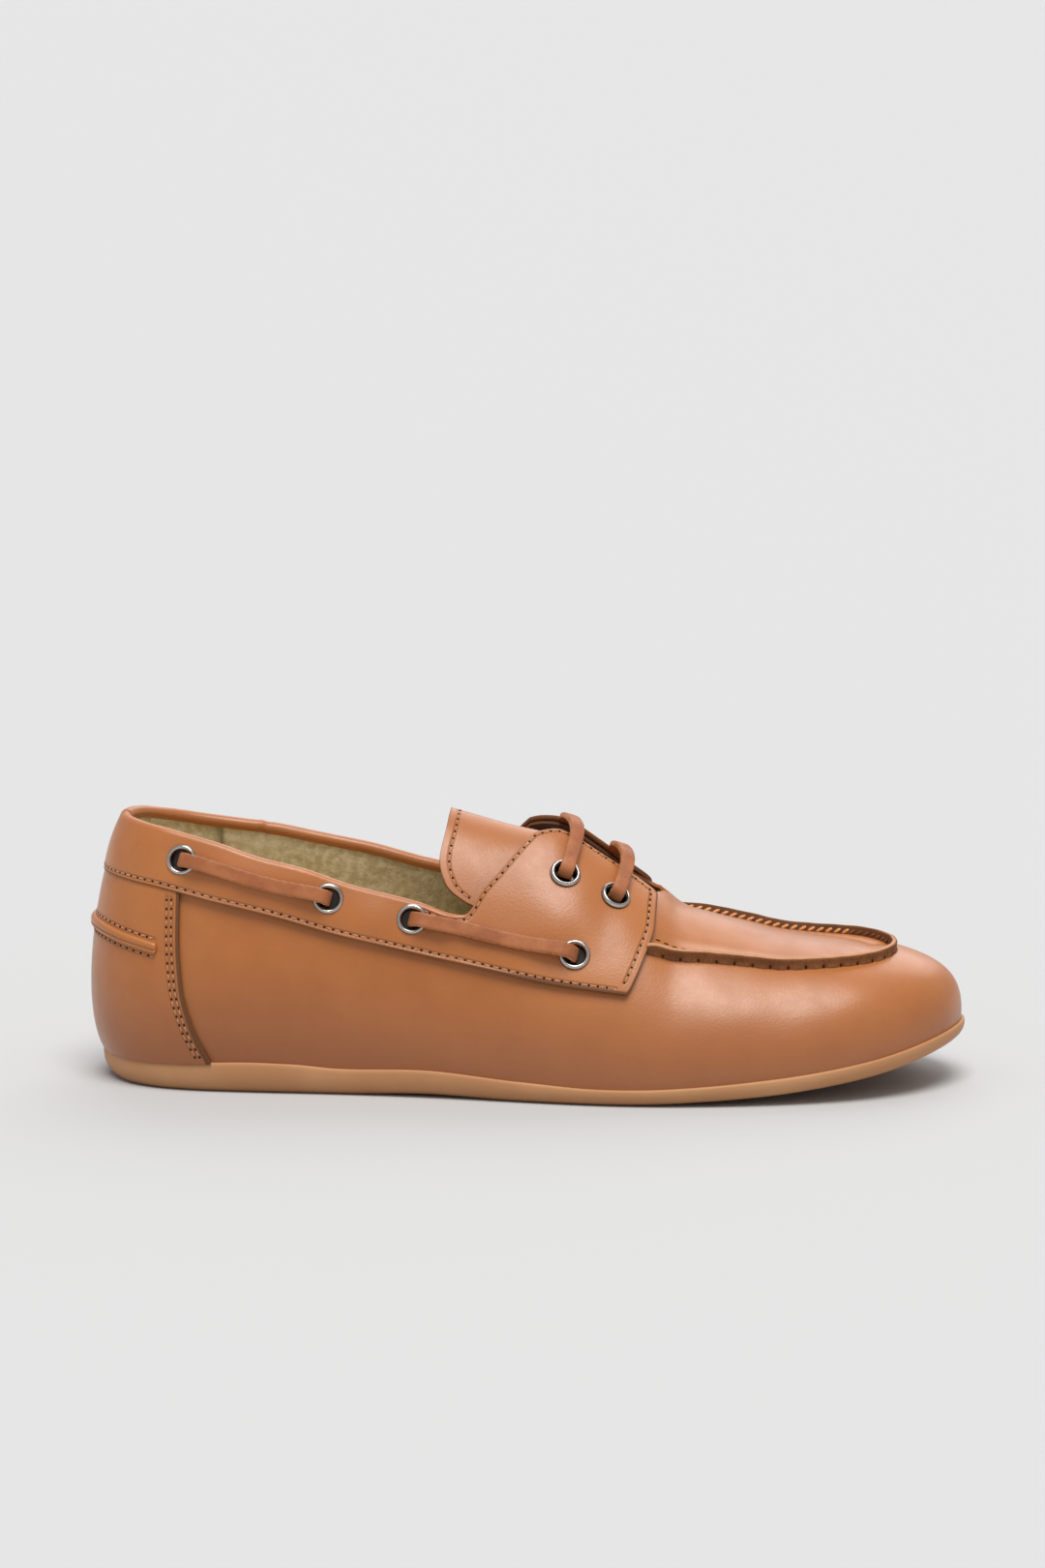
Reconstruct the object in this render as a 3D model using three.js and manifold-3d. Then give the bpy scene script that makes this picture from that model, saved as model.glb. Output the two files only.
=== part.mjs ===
// A flat leather boat shoe for the right foot, standing empty on its sole.
// Millimetres, +X to the toe, +Y to the inner (medial) side, +Z up, origin under the middle of its box.
import * as THREE from "three";
import { mergeVertices } from "three/addons/utils/BufferGeometryUtils.js";
import Module from "manifold-3d";

const wasm = await Module();
wasm.setup();

// Driving dimensions
const LENGTH = 254; // rearmost point of the heel to the tip of the toe
const BALL_WIDTH = 91; // across the sole at the ball
const INSTEP_HEIGHT = 75; // floor to the ridge of the last at the lace holes
const HEEL_HEIGHT = 77; // floor to the collar at the back of the heel
const TOE_SPRING = 13; // rise of the sole's underside at the tip
const HEEL_SOLE = 9.1; // thickness of the sole under the heel
const BALL_SOLE = 4.8; // thickness of the sole under the ball and toe
const SOLE_LIP = 1; // how far the sole stands out past the upper
const UPPER_WALL = 1.8;
const BAND_WALL = 1.6;
const COUNTER_WALL = 1.2;
const TONGUE_WALL = 1.8;
const TONGUE_DIP = 3; // how far the tongue lies below the facings at their top corner
const INSOLE_THICKNESS = 2.5;
const SEAM_HEIGHT = 2.6; // of the ridge round the apron
const SEAM_WIDTH = 1.8;
const KICKER_HEIGHT = 1.5; // of the strip round the back of the heel
const KICKER_WIDTH = 3.6;
const THROAT_WIDTH = 18; // between the two facings
const EYELET_FLANGE = 9.2; // diameter
const EYELET_HOLE = 5.4; // diameter
const EYELET_RISE = 1.1; // of the flange over the leather
const EYELET_ROUND = 0.5; // of the flange's edges
const EYELET_METAL = 0.4; // thickness of the neck's wall
const LACE_WIDTH = 4.1;
const LACE_THICKNESS = 1.9;
const CLEARANCE = 0.3; // between pieces that touch

// How finely the last is cut into facets
const COLUMNS = 48; // round the outline
const ROWS = 9; // from the sole up to the ridge
const SKIRT = 4; // the last's wall runs this far below the sole's top before it is trimmed

// The last, one row for each section from the heel to the toe.
// at: share of LENGTH. lateral, medial: half widths where upper meets sole, shares of BALL_WIDTH.
// ridgeAt: where the section's rib meets the ridge, share of LENGTH. ridge: its shift to the medial side.
// flare: how far the rib swells outwards, share of BALL_WIDTH. rise: height of that swell, share of the
// rib's height. reach: how far the rib's flat top comes back from the ridge, share of its depth.
const SECTIONS = [
  { at: 0.0145, lateral: 0, medial: 0, ridgeAt: 0.126, ridge: 0, flare: 0.1, rise: 0.19, reach: 0.87 },
  { at: 0.047, lateral: 0.22, medial: 0.214, ridgeAt: 0.13, ridge: 0, flare: 0.094, rise: 0.21, reach: 0.81 },
  { at: 0.14, lateral: 0.33, medial: 0.315, ridgeAt: 0.155, ridge: 0, flare: 0.066, rise: 0.26, reach: 0.7 },
  { at: 0.3, lateral: 0.36, medial: 0.28, ridgeAt: 0.3, ridge: 0, flare: 0.05, rise: 0.31, reach: 0.62 },
  { at: 0.455, lateral: 0.42, medial: 0.33, ridgeAt: 0.455, ridge: 0, flare: 0.038, rise: 0.34, reach: 0.5 },
  { at: 0.6, lateral: 0.484, medial: 0.445, ridgeAt: 0.6, ridge: 0.01, flare: 0.03, rise: 0.39, reach: 0.5 },
  {
    at: 0.74, lateral: 0.47, medial: 0.49, ridgeAt: 0.74, ridge: 0.025,
    flare: 0.022, rise: 0.43, reach: 0.58,
  },
  {
    at: 0.868, lateral: 0.385, medial: 0.43, ridgeAt: 0.818, ridge: 0.035,
    flare: 0.012, rise: 0.5, reach: 0.74,
  },
  {
    at: 0.955, lateral: 0.215, medial: 0.3, ridgeAt: 0.843, ridge: 0.035,
    flare: 0.01, rise: 0.57, reach: 0.82,
  },
  {
    at: 0.9945, lateral: -0.045, medial: 0.045, ridgeAt: 0.85, ridge: 0.035,
    flare: 0.01, rise: 0.6, reach: 0.85,
  },
];

// Height of the last's ridge, share of INSTEP_HEIGHT.
const RIDGE = [
  { at: 0.1, up: 1.31 },
  { at: 0.24, up: 1.27 },
  { at: 0.35, up: 1.14 },
  { at: 0.42, up: 1.07 },
  { at: 0.475, up: 1.037 },
  { at: 0.527, up: 1.015 },
  { at: 0.59, up: 0.885 },
  { at: 0.642, up: 0.762 },
  { at: 0.673, up: 0.69 },
  { at: 0.71, up: 0.653 },
  { at: 0.75, up: 0.616 },
  { at: 0.79, up: 0.577 },
  { at: 0.86, up: 0.543 },
];

// The sole from the side. bottom: rise of its underside, share of TOE_SPRING.
// heel: how much of its thickness is the heel's, from 0, all BALL_SOLE, to 1, all HEEL_SOLE.
const SOLE = [
  { at: 0, bottom: 0.12, heel: 0.77 },
  { at: 0.05, bottom: 0, heel: 0.77 },
  { at: 0.12, bottom: 0, heel: 0.86 },
  { at: 0.19, bottom: 0, heel: 1 },
  { at: 0.24, bottom: 0, heel: 0.93 },
  { at: 0.29, bottom: 0, heel: 0.71 },
  { at: 0.39, bottom: 0.06, heel: 0.61 },
  { at: 0.5, bottom: 0, heel: 0.31 },
  { at: 0.58, bottom: 0, heel: 0.04 },
  { at: 0.64, bottom: 0.02, heel: 0 },
  { at: 0.7, bottom: 0.08, heel: 0.02 },
  { at: 0.78, bottom: 0.2, heel: 0.08 },
  { at: 0.89, bottom: 0.5, heel: 0.08 },
  { at: 1, bottom: 1, heel: 0 },
];

// The collar and the rear edge of the facings from the side. lateral, medial: shares of HEEL_HEIGHT.
const COLLAR = [
  { at: -0.08, lateral: 0.995, medial: 1.0 },
  { at: 0.04, lateral: 0.995, medial: 1.0 },
  { at: 0.08, lateral: 0.982, medial: 0.97 },
  { at: 0.15, lateral: 0.93, medial: 0.93 },
  { at: 0.2, lateral: 0.878, medial: 0.91 },
  { at: 0.25, lateral: 0.84, medial: 0.88 },
  { at: 0.31, lateral: 0.776, medial: 0.845 },
  { at: 0.38, lateral: 0.722, medial: 0.785 },
  { at: 0.433, lateral: 0.672, medial: 0.75 },
];
const FACING_BACK = [
  { at: 0.455, lateral: 0.765, medial: 0.775 },
  { at: 0.47, lateral: 0.815, medial: 0.84 },
  { at: 0.49, lateral: 0.885, medial: 0.92 },
  { at: 0.51, lateral: 0.945, medial: 0.98 },
  { at: 0.528, lateral: 0.985, medial: 1.015 },
  { at: 0.54, lateral: 1.05, medial: 1.06 },
];

// The gap between the facings from above. lateral, medial: to each side of the ridge, shares of THROAT_WIDTH.
const THROAT = [
  { at: 0.46, lateral: 0.85, medial: 0.8 },
  { at: 0.49, lateral: 0.75, medial: 0.55 },
  { at: 0.515, lateral: 0.6, medial: 0.42 },
  { at: 0.54, lateral: 0.5, medial: 0.38 },
  { at: 0.58, lateral: 0.5, medial: 0.42 },
  { at: 0.62, lateral: 0.5, medial: 0.6 },
  { at: 0.645, lateral: 0.4, medial: 0.5 },
];
const THROAT_END = 0.655;

// Lower edge of the collar band, and the front edge of its facing, from the side. up: share of HEEL_HEIGHT.
const BAND_EDGE = [
  { at: -0.08, up: 0.78 },
  { at: 0.02, up: 0.78 },
  { at: 0.07, up: 0.767 },
  { at: 0.155, up: 0.708 },
  { at: 0.223, up: 0.658 },
  { at: 0.291, up: 0.597 },
  { at: 0.36, up: 0.548 },
  { at: 0.428, up: 0.503 },
  { at: 0.519, up: 0.446 },
  { at: 0.615, up: 0.402 },
];
const FACING_FRONT = [
  { at: 0.622, up: 0.43 },
  { at: 0.634, up: 0.52 },
  { at: 0.647, up: 0.66 },
  { at: 0.652, up: 1.2 },
];

// Front edge of the heel counter from the side. up: share of HEEL_HEIGHT.
const COUNTER_EDGE = [
  { at: 0.107, up: 0.85 },
  { at: 0.107, up: 0.6 },
  { at: 0.111, up: 0.4 },
  { at: 0.124, up: 0.24 },
  { at: 0.145, up: 0.1 },
  { at: 0.163, up: -0.05 },
];

// The strip round the heel, from its back to its end: its middle line. up: share of HEEL_HEIGHT.
const KICKER = [
  { at: -0.05, up: 0.565 },
  { at: 0.01, up: 0.565 },
  { at: 0.05, up: 0.55 },
  { at: 0.09, up: 0.53 },
];

// The apron from above, from its lateral end round the toe to its medial end. across: share of BALL_WIDTH.
const APRON = [
  { at: 0.6, across: -0.325 },
  { at: 0.69, across: -0.276 },
  { at: 0.78, across: -0.245 },
  { at: 0.85, across: -0.2 },
  { at: 0.89, across: -0.135 },
  { at: 0.91, across: -0.04 },
  { at: 0.909, across: 0.055 },
  { at: 0.888, across: 0.15 },
  { at: 0.85, across: 0.215 },
  { at: 0.79, across: 0.235 },
  { at: 0.69, across: 0.212 },
  { at: 0.6, across: 0.235 },
];

// Rear edge of the tongue from the side. up: share of INSTEP_HEIGHT.
const TONGUE_END = [
  { at: 0.422, up: 1.2 },
  { at: 0.41, up: 1.0 },
  { at: 0.403, up: 0.88 },
  { at: 0.41, up: 0.8 },
  { at: 0.435, up: 0.73 },
  { at: 0.48, up: 0.68 },
];
const TONGUE_FRONT = 0.69;
const TONGUE_FOOT = 0.62; // its lower edge at the front, share of INSTEP_HEIGHT

// The lace holes from the side. at: share of LENGTH. up: share of HEEL_HEIGHT.
const EYELETS = [
  { name: "heel", at: 0.113, up: 0.86 },
  { name: "ankle", at: 0.279, up: 0.728 },
  { name: "quarter", at: 0.374, up: 0.655 },
  { name: "vamp", at: 0.558, up: 0.54 },
  { name: "facing_rear", at: 0.544, up: 0.81 },
  { name: "facing_front", at: 0.6, up: 0.724 },
];
const SIDES = { lateral: -1, medial: 1 };

// Value of one column of a table at one place, on a curve that never overshoots its rows.
function ease(table, column, at) {
  const last = table.length - 1;
  if (at <= table[0].at) return table[0][column];
  if (at >= table[last].at) return table[last][column];
  const step = (i) => table[i + 1].at - table[i].at;
  const rate = (i) => (table[i + 1][column] - table[i][column]) / step(i);
  const slope = (i) => {
    if (i === 0) return rate(0);
    if (i === last) return rate(last - 1);
    const before = rate(i - 1);
    const after = rate(i);
    return before * after <= 0 ? 0 : (2 * before * after) / (before + after);
  };
  let i = 0;
  while (at > table[i + 1].at) i++;
  const t = (at - table[i].at) / step(i);
  const a = (1 + 2 * t) * (1 - t) * (1 - t);
  const b = t * (1 - t) * (1 - t) * step(i);
  const c = t * t * (3 - 2 * t);
  const d = t * t * (t - 1) * step(i);
  return a * table[i][column] + b * slope(i) + c * table[i + 1][column] + d * slope(i + 1);
}

// Heights that depend on the place along the shoe alone.
const soleBottom = (x) => TOE_SPRING * ease(SOLE, "bottom", x / LENGTH);
const soleThickness = (x) => BALL_SOLE + (HEEL_SOLE - BALL_SOLE) * ease(SOLE, "heel", x / LENGTH);
const soleTop = (x) => soleBottom(x) + soleThickness(x);
const ridgeHeight = (x) => INSTEP_HEIGHT * ease(RIDGE, "up", x / LENGTH);
const SLOPE_STEP = LENGTH / 250;
const ridgeSlope = (x) => (ridgeHeight(x + SLOPE_STEP) - ridgeHeight(x - SLOPE_STEP)) / (2 * SLOPE_STEP);

// The sections as one closed loop, down the lateral side and back up the medial one.
const LOOP = [
  ...SECTIONS.map((row) => ({ ...row, across: -row.lateral })),
  ...SECTIONS.slice(1, -1).reverse().map((row) => ({ ...row, across: row.medial })),
];
const LOOP_COLUMNS = ["at", "across", "ridgeAt", "ridge", "flare", "rise", "reach"];

// Control values whose closed cubic B-spline passes through the loop's rows.
const wrap = (i) => (i + LOOP.length) % LOOP.length;
let controls = LOOP.map((row) => LOOP_COLUMNS.map((column) => row[column]));
for (let pass = 0; pass < 60; pass++)
  controls = controls.map((_, i) =>
    LOOP_COLUMNS.map((column, c) => {
      const beside = controls[wrap(i - 1)][c] + controls[wrap(i + 1)][c];
      return (6 * LOOP[i][column] - beside) / 4;
    }),
  );

// The section at a place round the loop, from 0 at the heel by LOOP.length/2 at the toe to LOOP.length.
function section(u) {
  const i = Math.floor(u);
  const t = u - i;
  const weights = [(1 - t) ** 3, 3 * t ** 3 - 6 * t ** 2 + 4, -3 * t ** 3 + 3 * t ** 2 + 3 * t + 1, t ** 3];
  const out = {};
  LOOP_COLUMNS.forEach((column, c) => {
    out[column] = weights.reduce((sum, weight, k) => sum + (weight * controls[wrap(i - 1 + k)][c]) / 6, 0);
  });
  return out;
}

// A point of the last's skin: u round the loop, v from 0 at the sole to 1 at the ridge.
function skin(u, v) {
  const s = section(u);
  const foot = new THREE.Vector3(s.at * LENGTH, s.across * BALL_WIDTH, soleTop(s.at * LENGTH));
  const top = new THREE.Vector3(s.ridgeAt * LENGTH, s.ridge * BALL_WIDTH, ridgeHeight(s.ridgeAt * LENGTH));
  const inward = new THREE.Vector3(top.x - foot.x, top.y - foot.y, 0);
  const swell = foot.clone().addScaledVector(inward.clone().normalize(), -s.flare * BALL_WIDTH);
  swell.z += s.rise * (top.z - foot.z);
  const shoulder = top.clone().addScaledVector(inward, -s.reach);
  shoulder.z += ridgeSlope(top.x) * (shoulder.x - top.x);
  return new THREE.CubicBezierCurve3(foot, swell, shoulder, top).getPoint(v);
}

// The outward direction of the skin.
function outward(u, v) {
  if (v > 0.999) {
    const slope = ridgeSlope(section(u).ridgeAt * LENGTH);
    return new THREE.Vector3(-slope, 0, 1).normalize();
  }
  const e = 1e-3;
  const round = skin(u + e, v).sub(skin(u - e, v));
  const up = skin(u, Math.min(1, v + e)).sub(skin(u, Math.max(0, v - e)));
  return round.cross(up).normalize();
}

// A point of the skin moved out by an offset, which may depend on where it is.
function offsetSkin(u, v, offset) {
  const point = skin(u, v);
  const distance = typeof offset === "function" ? offset(point) : offset;
  return point.addScaledVector(outward(u, v), distance);
}

function geometryOf(points, faces) {
  const geometry = new THREE.BufferGeometry();
  const numbers = points.flatMap((p) => [p.x, p.y, p.z]);
  geometry.setAttribute("position", new THREE.Float32BufferAttribute(numbers, 3));
  geometry.setIndex(faces.flat());
  return geometry;
}

function solidOf(geometry) {
  const bare = geometry.clone();
  bare.deleteAttribute("normal");
  bare.deleteAttribute("uv");
  const merged = mergeVertices(bare, 1e-4);
  return new wasm.Manifold(
    new wasm.Mesh({
      numProp: 3,
      vertProperties: new Float32Array(merged.attributes.position.array),
      triVerts: new Uint32Array(merged.index.array),
    }),
  );
}

// A closed form from rings of points, one ring for each level, with both ends closed across the form.
// Point i of a ring and point COLUMNS - i lie opposite each other.
const opposite = (i) => (COLUMNS - i) % COLUMNS;
function formOf(levels, ridged) {
  const points = levels.flat();
  const index = (level, i) => {
    const last = ridged && level === levels.length - 1;
    const column = i % COLUMNS;
    return level * COLUMNS + (last ? Math.min(column, opposite(column)) : column);
  };
  const faces = [];
  const quad = (a, b, c, d) => {
    if (a !== b && b !== c && c !== a) faces.push([a, b, c]);
    if (a !== c && c !== d && d !== a) faces.push([a, c, d]);
  };
  for (let level = 0; level < levels.length - 1; level++)
    for (let i = 0; i < COLUMNS; i++)
      quad(index(level, i), index(level, i + 1), index(level + 1, i + 1), index(level + 1, i));
  for (let i = 0; i < COLUMNS / 2; i++) {
    quad(index(0, i), index(0, opposite(i)), index(0, opposite(i + 1)), index(0, i + 1));
    const top = levels.length - 1;
    if (!ridged) quad(index(top, i), index(top, i + 1), index(top, opposite(i + 1)), index(top, opposite(i)));
  }
  return solidOf(geometryOf(points, faces));
}

// The whole last at an offset from its skin, as a solid.
const placeRound = (i) => (i * LOOP.length) / COLUMNS;
function last(offset) {
  const ring = (v, drop) =>
    Array.from({ length: COLUMNS }, (_, i) => {
      const point = offsetSkin(placeRound(i), v, offset);
      point.z -= drop;
      return point;
    });
  const levels = [ring(0, SKIRT)];
  for (let row = 0; row <= ROWS; row++) levels.push(ring(row / ROWS, 0));
  return formOf(levels, true);
}

// A prism whose outline is drawn from the side, on one side of the shoe or through it.
function sidePrism(outline, from, to) {
  const shape = new THREE.Shape(outline.map((p) => new THREE.Vector2(p.x, p.z)));
  const geometry = new THREE.ExtrudeGeometry(shape, { depth: to - from, bevelEnabled: false });
  geometry.rotateX(Math.PI / 2);
  geometry.translate(0, to, 0);
  return solidOf(geometry);
}

// A prism whose outline is drawn from above, over the shoe's lower third.
function planPrism(outline) {
  const shape = new THREE.Shape(outline.map((p) => new THREE.Vector2(p.x, p.y)));
  const geometry = new THREE.ExtrudeGeometry(shape, { depth: 3 * INSTEP_HEIGHT, bevelEnabled: false });
  geometry.translate(0, 0, INSTEP_HEIGHT / 3);
  return solidOf(geometry);
}

// Points of a smooth line through a table's rows, from the side or from above.
function sideLine(table, column, height, steps = 2) {
  const rows = table.map((row) => new THREE.Vector2(row.at * LENGTH, row[column] * height));
  return new THREE.SplineCurve(rows).getPoints(steps * (rows.length - 1)).map((p) => ({ x: p.x, z: p.y }));
}

const FAR = 2 * LENGTH; // well past the shoe
const SKY = 3 * HEEL_HEIGHT;
const MIDDLE_LAP = CLEARANCE; // how far the cuts of the two sides lap over the middle

// What is cut away for the foot: above the collar and the facings' rear edges, and between the facings.
function opening() {
  const sides = Object.entries(SIDES).map(([side, sign]) => {
    const edge = [...sideLine(COLLAR, side, HEEL_HEIGHT), ...sideLine(FACING_BACK, side, HEEL_HEIGHT)];
    const outline = [...edge, { x: edge.at(-1).x, z: SKY }, { x: edge[0].x, z: SKY }];
    return sidePrism(outline, sign < 0 ? -FAR : -MIDDLE_LAP, sign < 0 ? MIDDLE_LAP : FAR);
  });
  const middle = (x) => BALL_WIDTH * section(throatPlace(x)).ridge;
  const edgeOf = (side) =>
    THROAT.map((row) => {
      const x = row.at * LENGTH;
      return { x, y: middle(x) + SIDES[side] * row[side] * THROAT_WIDTH };
    });
  const end = { x: THROAT_END * LENGTH, y: middle(THROAT_END * LENGTH) };
  const slot = planPrism([...edgeOf("lateral"), end, ...edgeOf("medial").reverse()]);
  return sides[0].add(sides[1]).add(slot);
}

// The place on the lateral side of the loop whose section stands at x.
function throatPlace(x) {
  let low = 0;
  let high = LOOP.length / 2;
  for (let pass = 0; pass < 40; pass++) {
    const mid = (low + high) / 2;
    if (section(mid).at * LENGTH < x) low = mid;
    else high = mid;
  }
  return low;
}

// The point of the skin that a side view shows at x, z, on one side: its place u, v.
function onSkin(side, x, z) {
  const place = (t) => (side === "lateral" ? t : LOOP.length - t);
  const level = (t) => {
    let low = 0;
    let high = 1;
    for (let pass = 0; pass < 30; pass++) {
      const mid = (low + high) / 2;
      if (skin(place(t), mid).z < z) low = mid;
      else high = mid;
    }
    return low;
  };
  let low = 0;
  let high = LOOP.length / 2;
  for (let pass = 0; pass < 30; pass++) {
    const mid = (low + high) / 2;
    if (skin(place(mid), level(mid)).x < x) low = mid;
    else high = mid;
  }
  return { u: place(low), v: level(low) };
}

// What lies between the sole's top face and the sky, a distance over that face.
const PAST_TIP = 0.08; // how far the trimming forms run past heel and toe, share of LENGTH
const TREAD_STEPS = 36;
function overSole(distance) {
  const line = Array.from({ length: TREAD_STEPS + 1 }, (_, i) => {
    const x = LENGTH * ((1 + 2 * PAST_TIP) * (i / TREAD_STEPS) - PAST_TIP);
    return { x, z: soleTop(x) + distance };
  });
  return sidePrism([...line, { x: line.at(-1).x, z: SKY }, { x: line[0].x, z: SKY }], -FAR, FAR);
}

// Sole

// A ring of the sole's side: an outset from where the upper meets it, and a share of its thickness.
function soleRing(outset, share) {
  return Array.from({ length: COLUMNS }, (_, i) => {
    const u = placeRound(i);
    const s = section(u);
    const e = 1e-3;
    const a = section(u - e);
    const b = section(u + e);
    const along = new THREE.Vector2((b.at - a.at) * LENGTH, (b.across - a.across) * BALL_WIDTH).normalize();
    const x = s.at * LENGTH + along.y * outset;
    const z = soleBottom(x) + share * (soleTop(x) - soleBottom(x));
    return new THREE.Vector3(x, s.across * BALL_WIDTH - along.x * outset, z);
  });
}

// Its side from the floor up. out: its outset, share of SOLE_LIP. up: share of its thickness.
const SOLE_SIDE = [
  { out: -4.5, up: 0 },
  { out: -1.2, up: 0.12 },
  { out: 0.6, up: 0.4 },
  { out: 1, up: 0.75 },
  { out: 0.8, up: 1 },
  { out: 0.8, up: 1.4 },
];

function outsole() {
  return formOf(SOLE_SIDE.map((row) => soleRing(row.out * SOLE_LIP, row.up)), false).subtract(overSole(0));
}

function insole() {
  const sheet = overSole(CLEARANCE).subtract(overSole(CLEARANCE + INSOLE_THICKNESS));
  return last(-UPPER_WALL - CLEARANCE).intersect(sheet);
}

// Upper and what is sewn on it
const cavity = opening();
const standing = overSole(CLEARANCE);
const eyeletPlaces = Object.keys(SIDES).flatMap((side) =>
  EYELETS.map((hole) => ({
    name: `${hole.name}_${side}`,
    hole: hole.name,
    side,
    ...onSkin(side, hole.at * LENGTH, hole.up * HEEL_HEIGHT),
  })),
);

// A frame on the skin at a lace hole: its origin on the band's face, and its third axis outward.
function eyeletFrame(place) {
  const out = outward(place.u, place.v);
  const origin = offsetSkin(place.u, place.v, CLEARANCE + BAND_WALL);
  const across = new THREE.Vector3(1, 0, 0).addScaledVector(out, -out.x).normalize();
  return new THREE.Matrix4().makeBasis(across, out.clone().cross(across), out).setPosition(origin);
}

const EYELET_SIDES = 10; // facets round an eyelet
const BARREL = EYELET_HOLE / 2 + EYELET_METAL; // radius of the eyelet's neck through the leather
const eyeletHoles = eyeletPlaces.map((place) => {
  const depth = 4 * (UPPER_WALL + BAND_WALL);
  const drill = new THREE.CylinderGeometry(BARREL + CLEARANCE, BARREL + CLEARANCE, depth, EYELET_SIDES);
  drill.rotateX(Math.PI / 2);
  drill.applyMatrix4(eyeletFrame(place));
  return solidOf(drill);
});
const withHoles = (solid) => eyeletHoles.reduce((rest, hole) => rest.subtract(hole), solid);

// The layer of a thing that lies on the last between two offsets.
const layer = (inner, outer) => last(outer).subtract(last(inner));

function upper() {
  return withHoles(layer(-UPPER_WALL, 0).intersect(standing).subtract(cavity));
}

// What lies above the lower edge of the band and behind the front edge of its facing.
function bandPrism(gap) {
  const lower = sideLine(BAND_EDGE, "up", HEEL_HEIGHT).map((p) => ({ x: p.x, z: p.z - gap }));
  const front = sideLine(FACING_FRONT, "up", HEEL_HEIGHT).map((p) => ({ x: p.x + gap, z: p.z }));
  const outline = [...lower, ...front, { x: front.at(-1).x, z: SKY }, { x: lower[0].x, z: SKY }];
  return sidePrism(outline, -FAR, FAR);
}

function collarBand() {
  const sheet = layer(CLEARANCE, CLEARANCE + BAND_WALL);
  return withHoles(sheet.intersect(bandPrism(0)).subtract(cavity));
}

function heelCounter() {
  const sheet = layer(CLEARANCE, CLEARANCE + COUNTER_WALL);
  const edge = sideLine(COUNTER_EDGE, "up", HEEL_HEIGHT);
  const outline = [{ x: -FAR, z: edge.at(-1).z }, ...edge.reverse(), { x: -FAR, z: edge.at(-1).z }];
  return sheet.intersect(sidePrism(outline, -FAR, FAR)).subtract(bandPrism(CLEARANCE)).intersect(standing);
}

function kicker() {
  const base = 2 * CLEARANCE + COUNTER_WALL;
  const middle = sideLine(KICKER, "up", HEEL_HEIGHT);
  const top = middle.map((p) => ({ x: p.x, z: p.z + KICKER_WIDTH / 2 }));
  const bottom = middle.map((p) => ({ x: p.x, z: p.z - KICKER_WIDTH / 2 }));
  return layer(base, base + KICKER_HEIGHT).intersect(sidePrism([...bottom, ...top.reverse()], -FAR, FAR));
}

// The upstanding seam round the apron, from one facing to the other.
function apronSeam() {
  const rows = APRON.map((row) => new THREE.Vector2(row.at * LENGTH, row.across * BALL_WIDTH));
  const line = new THREE.SplineCurve(rows);
  const steps = 4 * (rows.length - 1);
  const along = Array.from({ length: steps + 1 }, (_, i) => i / steps);
  const side = (distance) =>
    along.map((t) => {
      const tangent = line.getTangent(t);
      return line.getPoint(t).add(new THREE.Vector2(tangent.y, -tangent.x).multiplyScalar(distance));
    });
  const ring = planPrism([...side(0), ...side(SEAM_WIDTH).reverse()]);
  return layer(CLEARANCE, CLEARANCE + SEAM_HEIGHT).intersect(ring).subtract(bandPrism(CLEARANCE));
}

function tongue() {
  const dip = (point) => {
    const share = (point.x / LENGTH - 0.4) / (TONGUE_FRONT - 0.4);
    return TONGUE_DIP * Math.sin(Math.PI * Math.min(1, Math.max(0, share))) ** 2;
  };
  const outer = (point) => -UPPER_WALL - CLEARANCE - dip(point);
  const inner = (point) => outer(point) - TONGUE_WALL;
  const rear = sideLine(TONGUE_END, "up", INSTEP_HEIGHT);
  const front = TONGUE_FRONT * LENGTH;
  const outline = [...rear, { x: front, z: TONGUE_FOOT * INSTEP_HEIGHT }, { x: front, z: rear[0].z }];
  return layer(inner, outer).intersect(sidePrism(outline, -FAR, FAR));
}

// Eyelets
function eyelet(place) {
  const hole = EYELET_HOLE / 2;
  const flange = EYELET_FLANGE / 2;
  const depth = BAND_WALL + CLEARANCE + UPPER_WALL;
  const profile = [
    [hole, -depth],
    [BARREL, -depth],
    [BARREL, CLEARANCE],
    [flange, CLEARANCE],
    [flange - EYELET_ROUND, EYELET_RISE],
    [hole + EYELET_ROUND, EYELET_RISE],
    [hole, EYELET_RISE - EYELET_ROUND],
    [hole, -depth],
  ];
  const geometry = new THREE.LatheGeometry(profile.map(([r, y]) => new THREE.Vector2(r, y)), EYELET_SIDES);
  geometry.rotateX(Math.PI / 2);
  geometry.applyMatrix4(eyeletFrame(place));
  return solidOf(geometry);
}

// Laces

// Corners of a thong's section, shares of its half width and half thickness.
const THONG_OUTLINE = [[1, 0], [0.75, 1], [-0.75, 1], [-1, 0], [-0.75, -1], [0.75, -1]];

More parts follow.
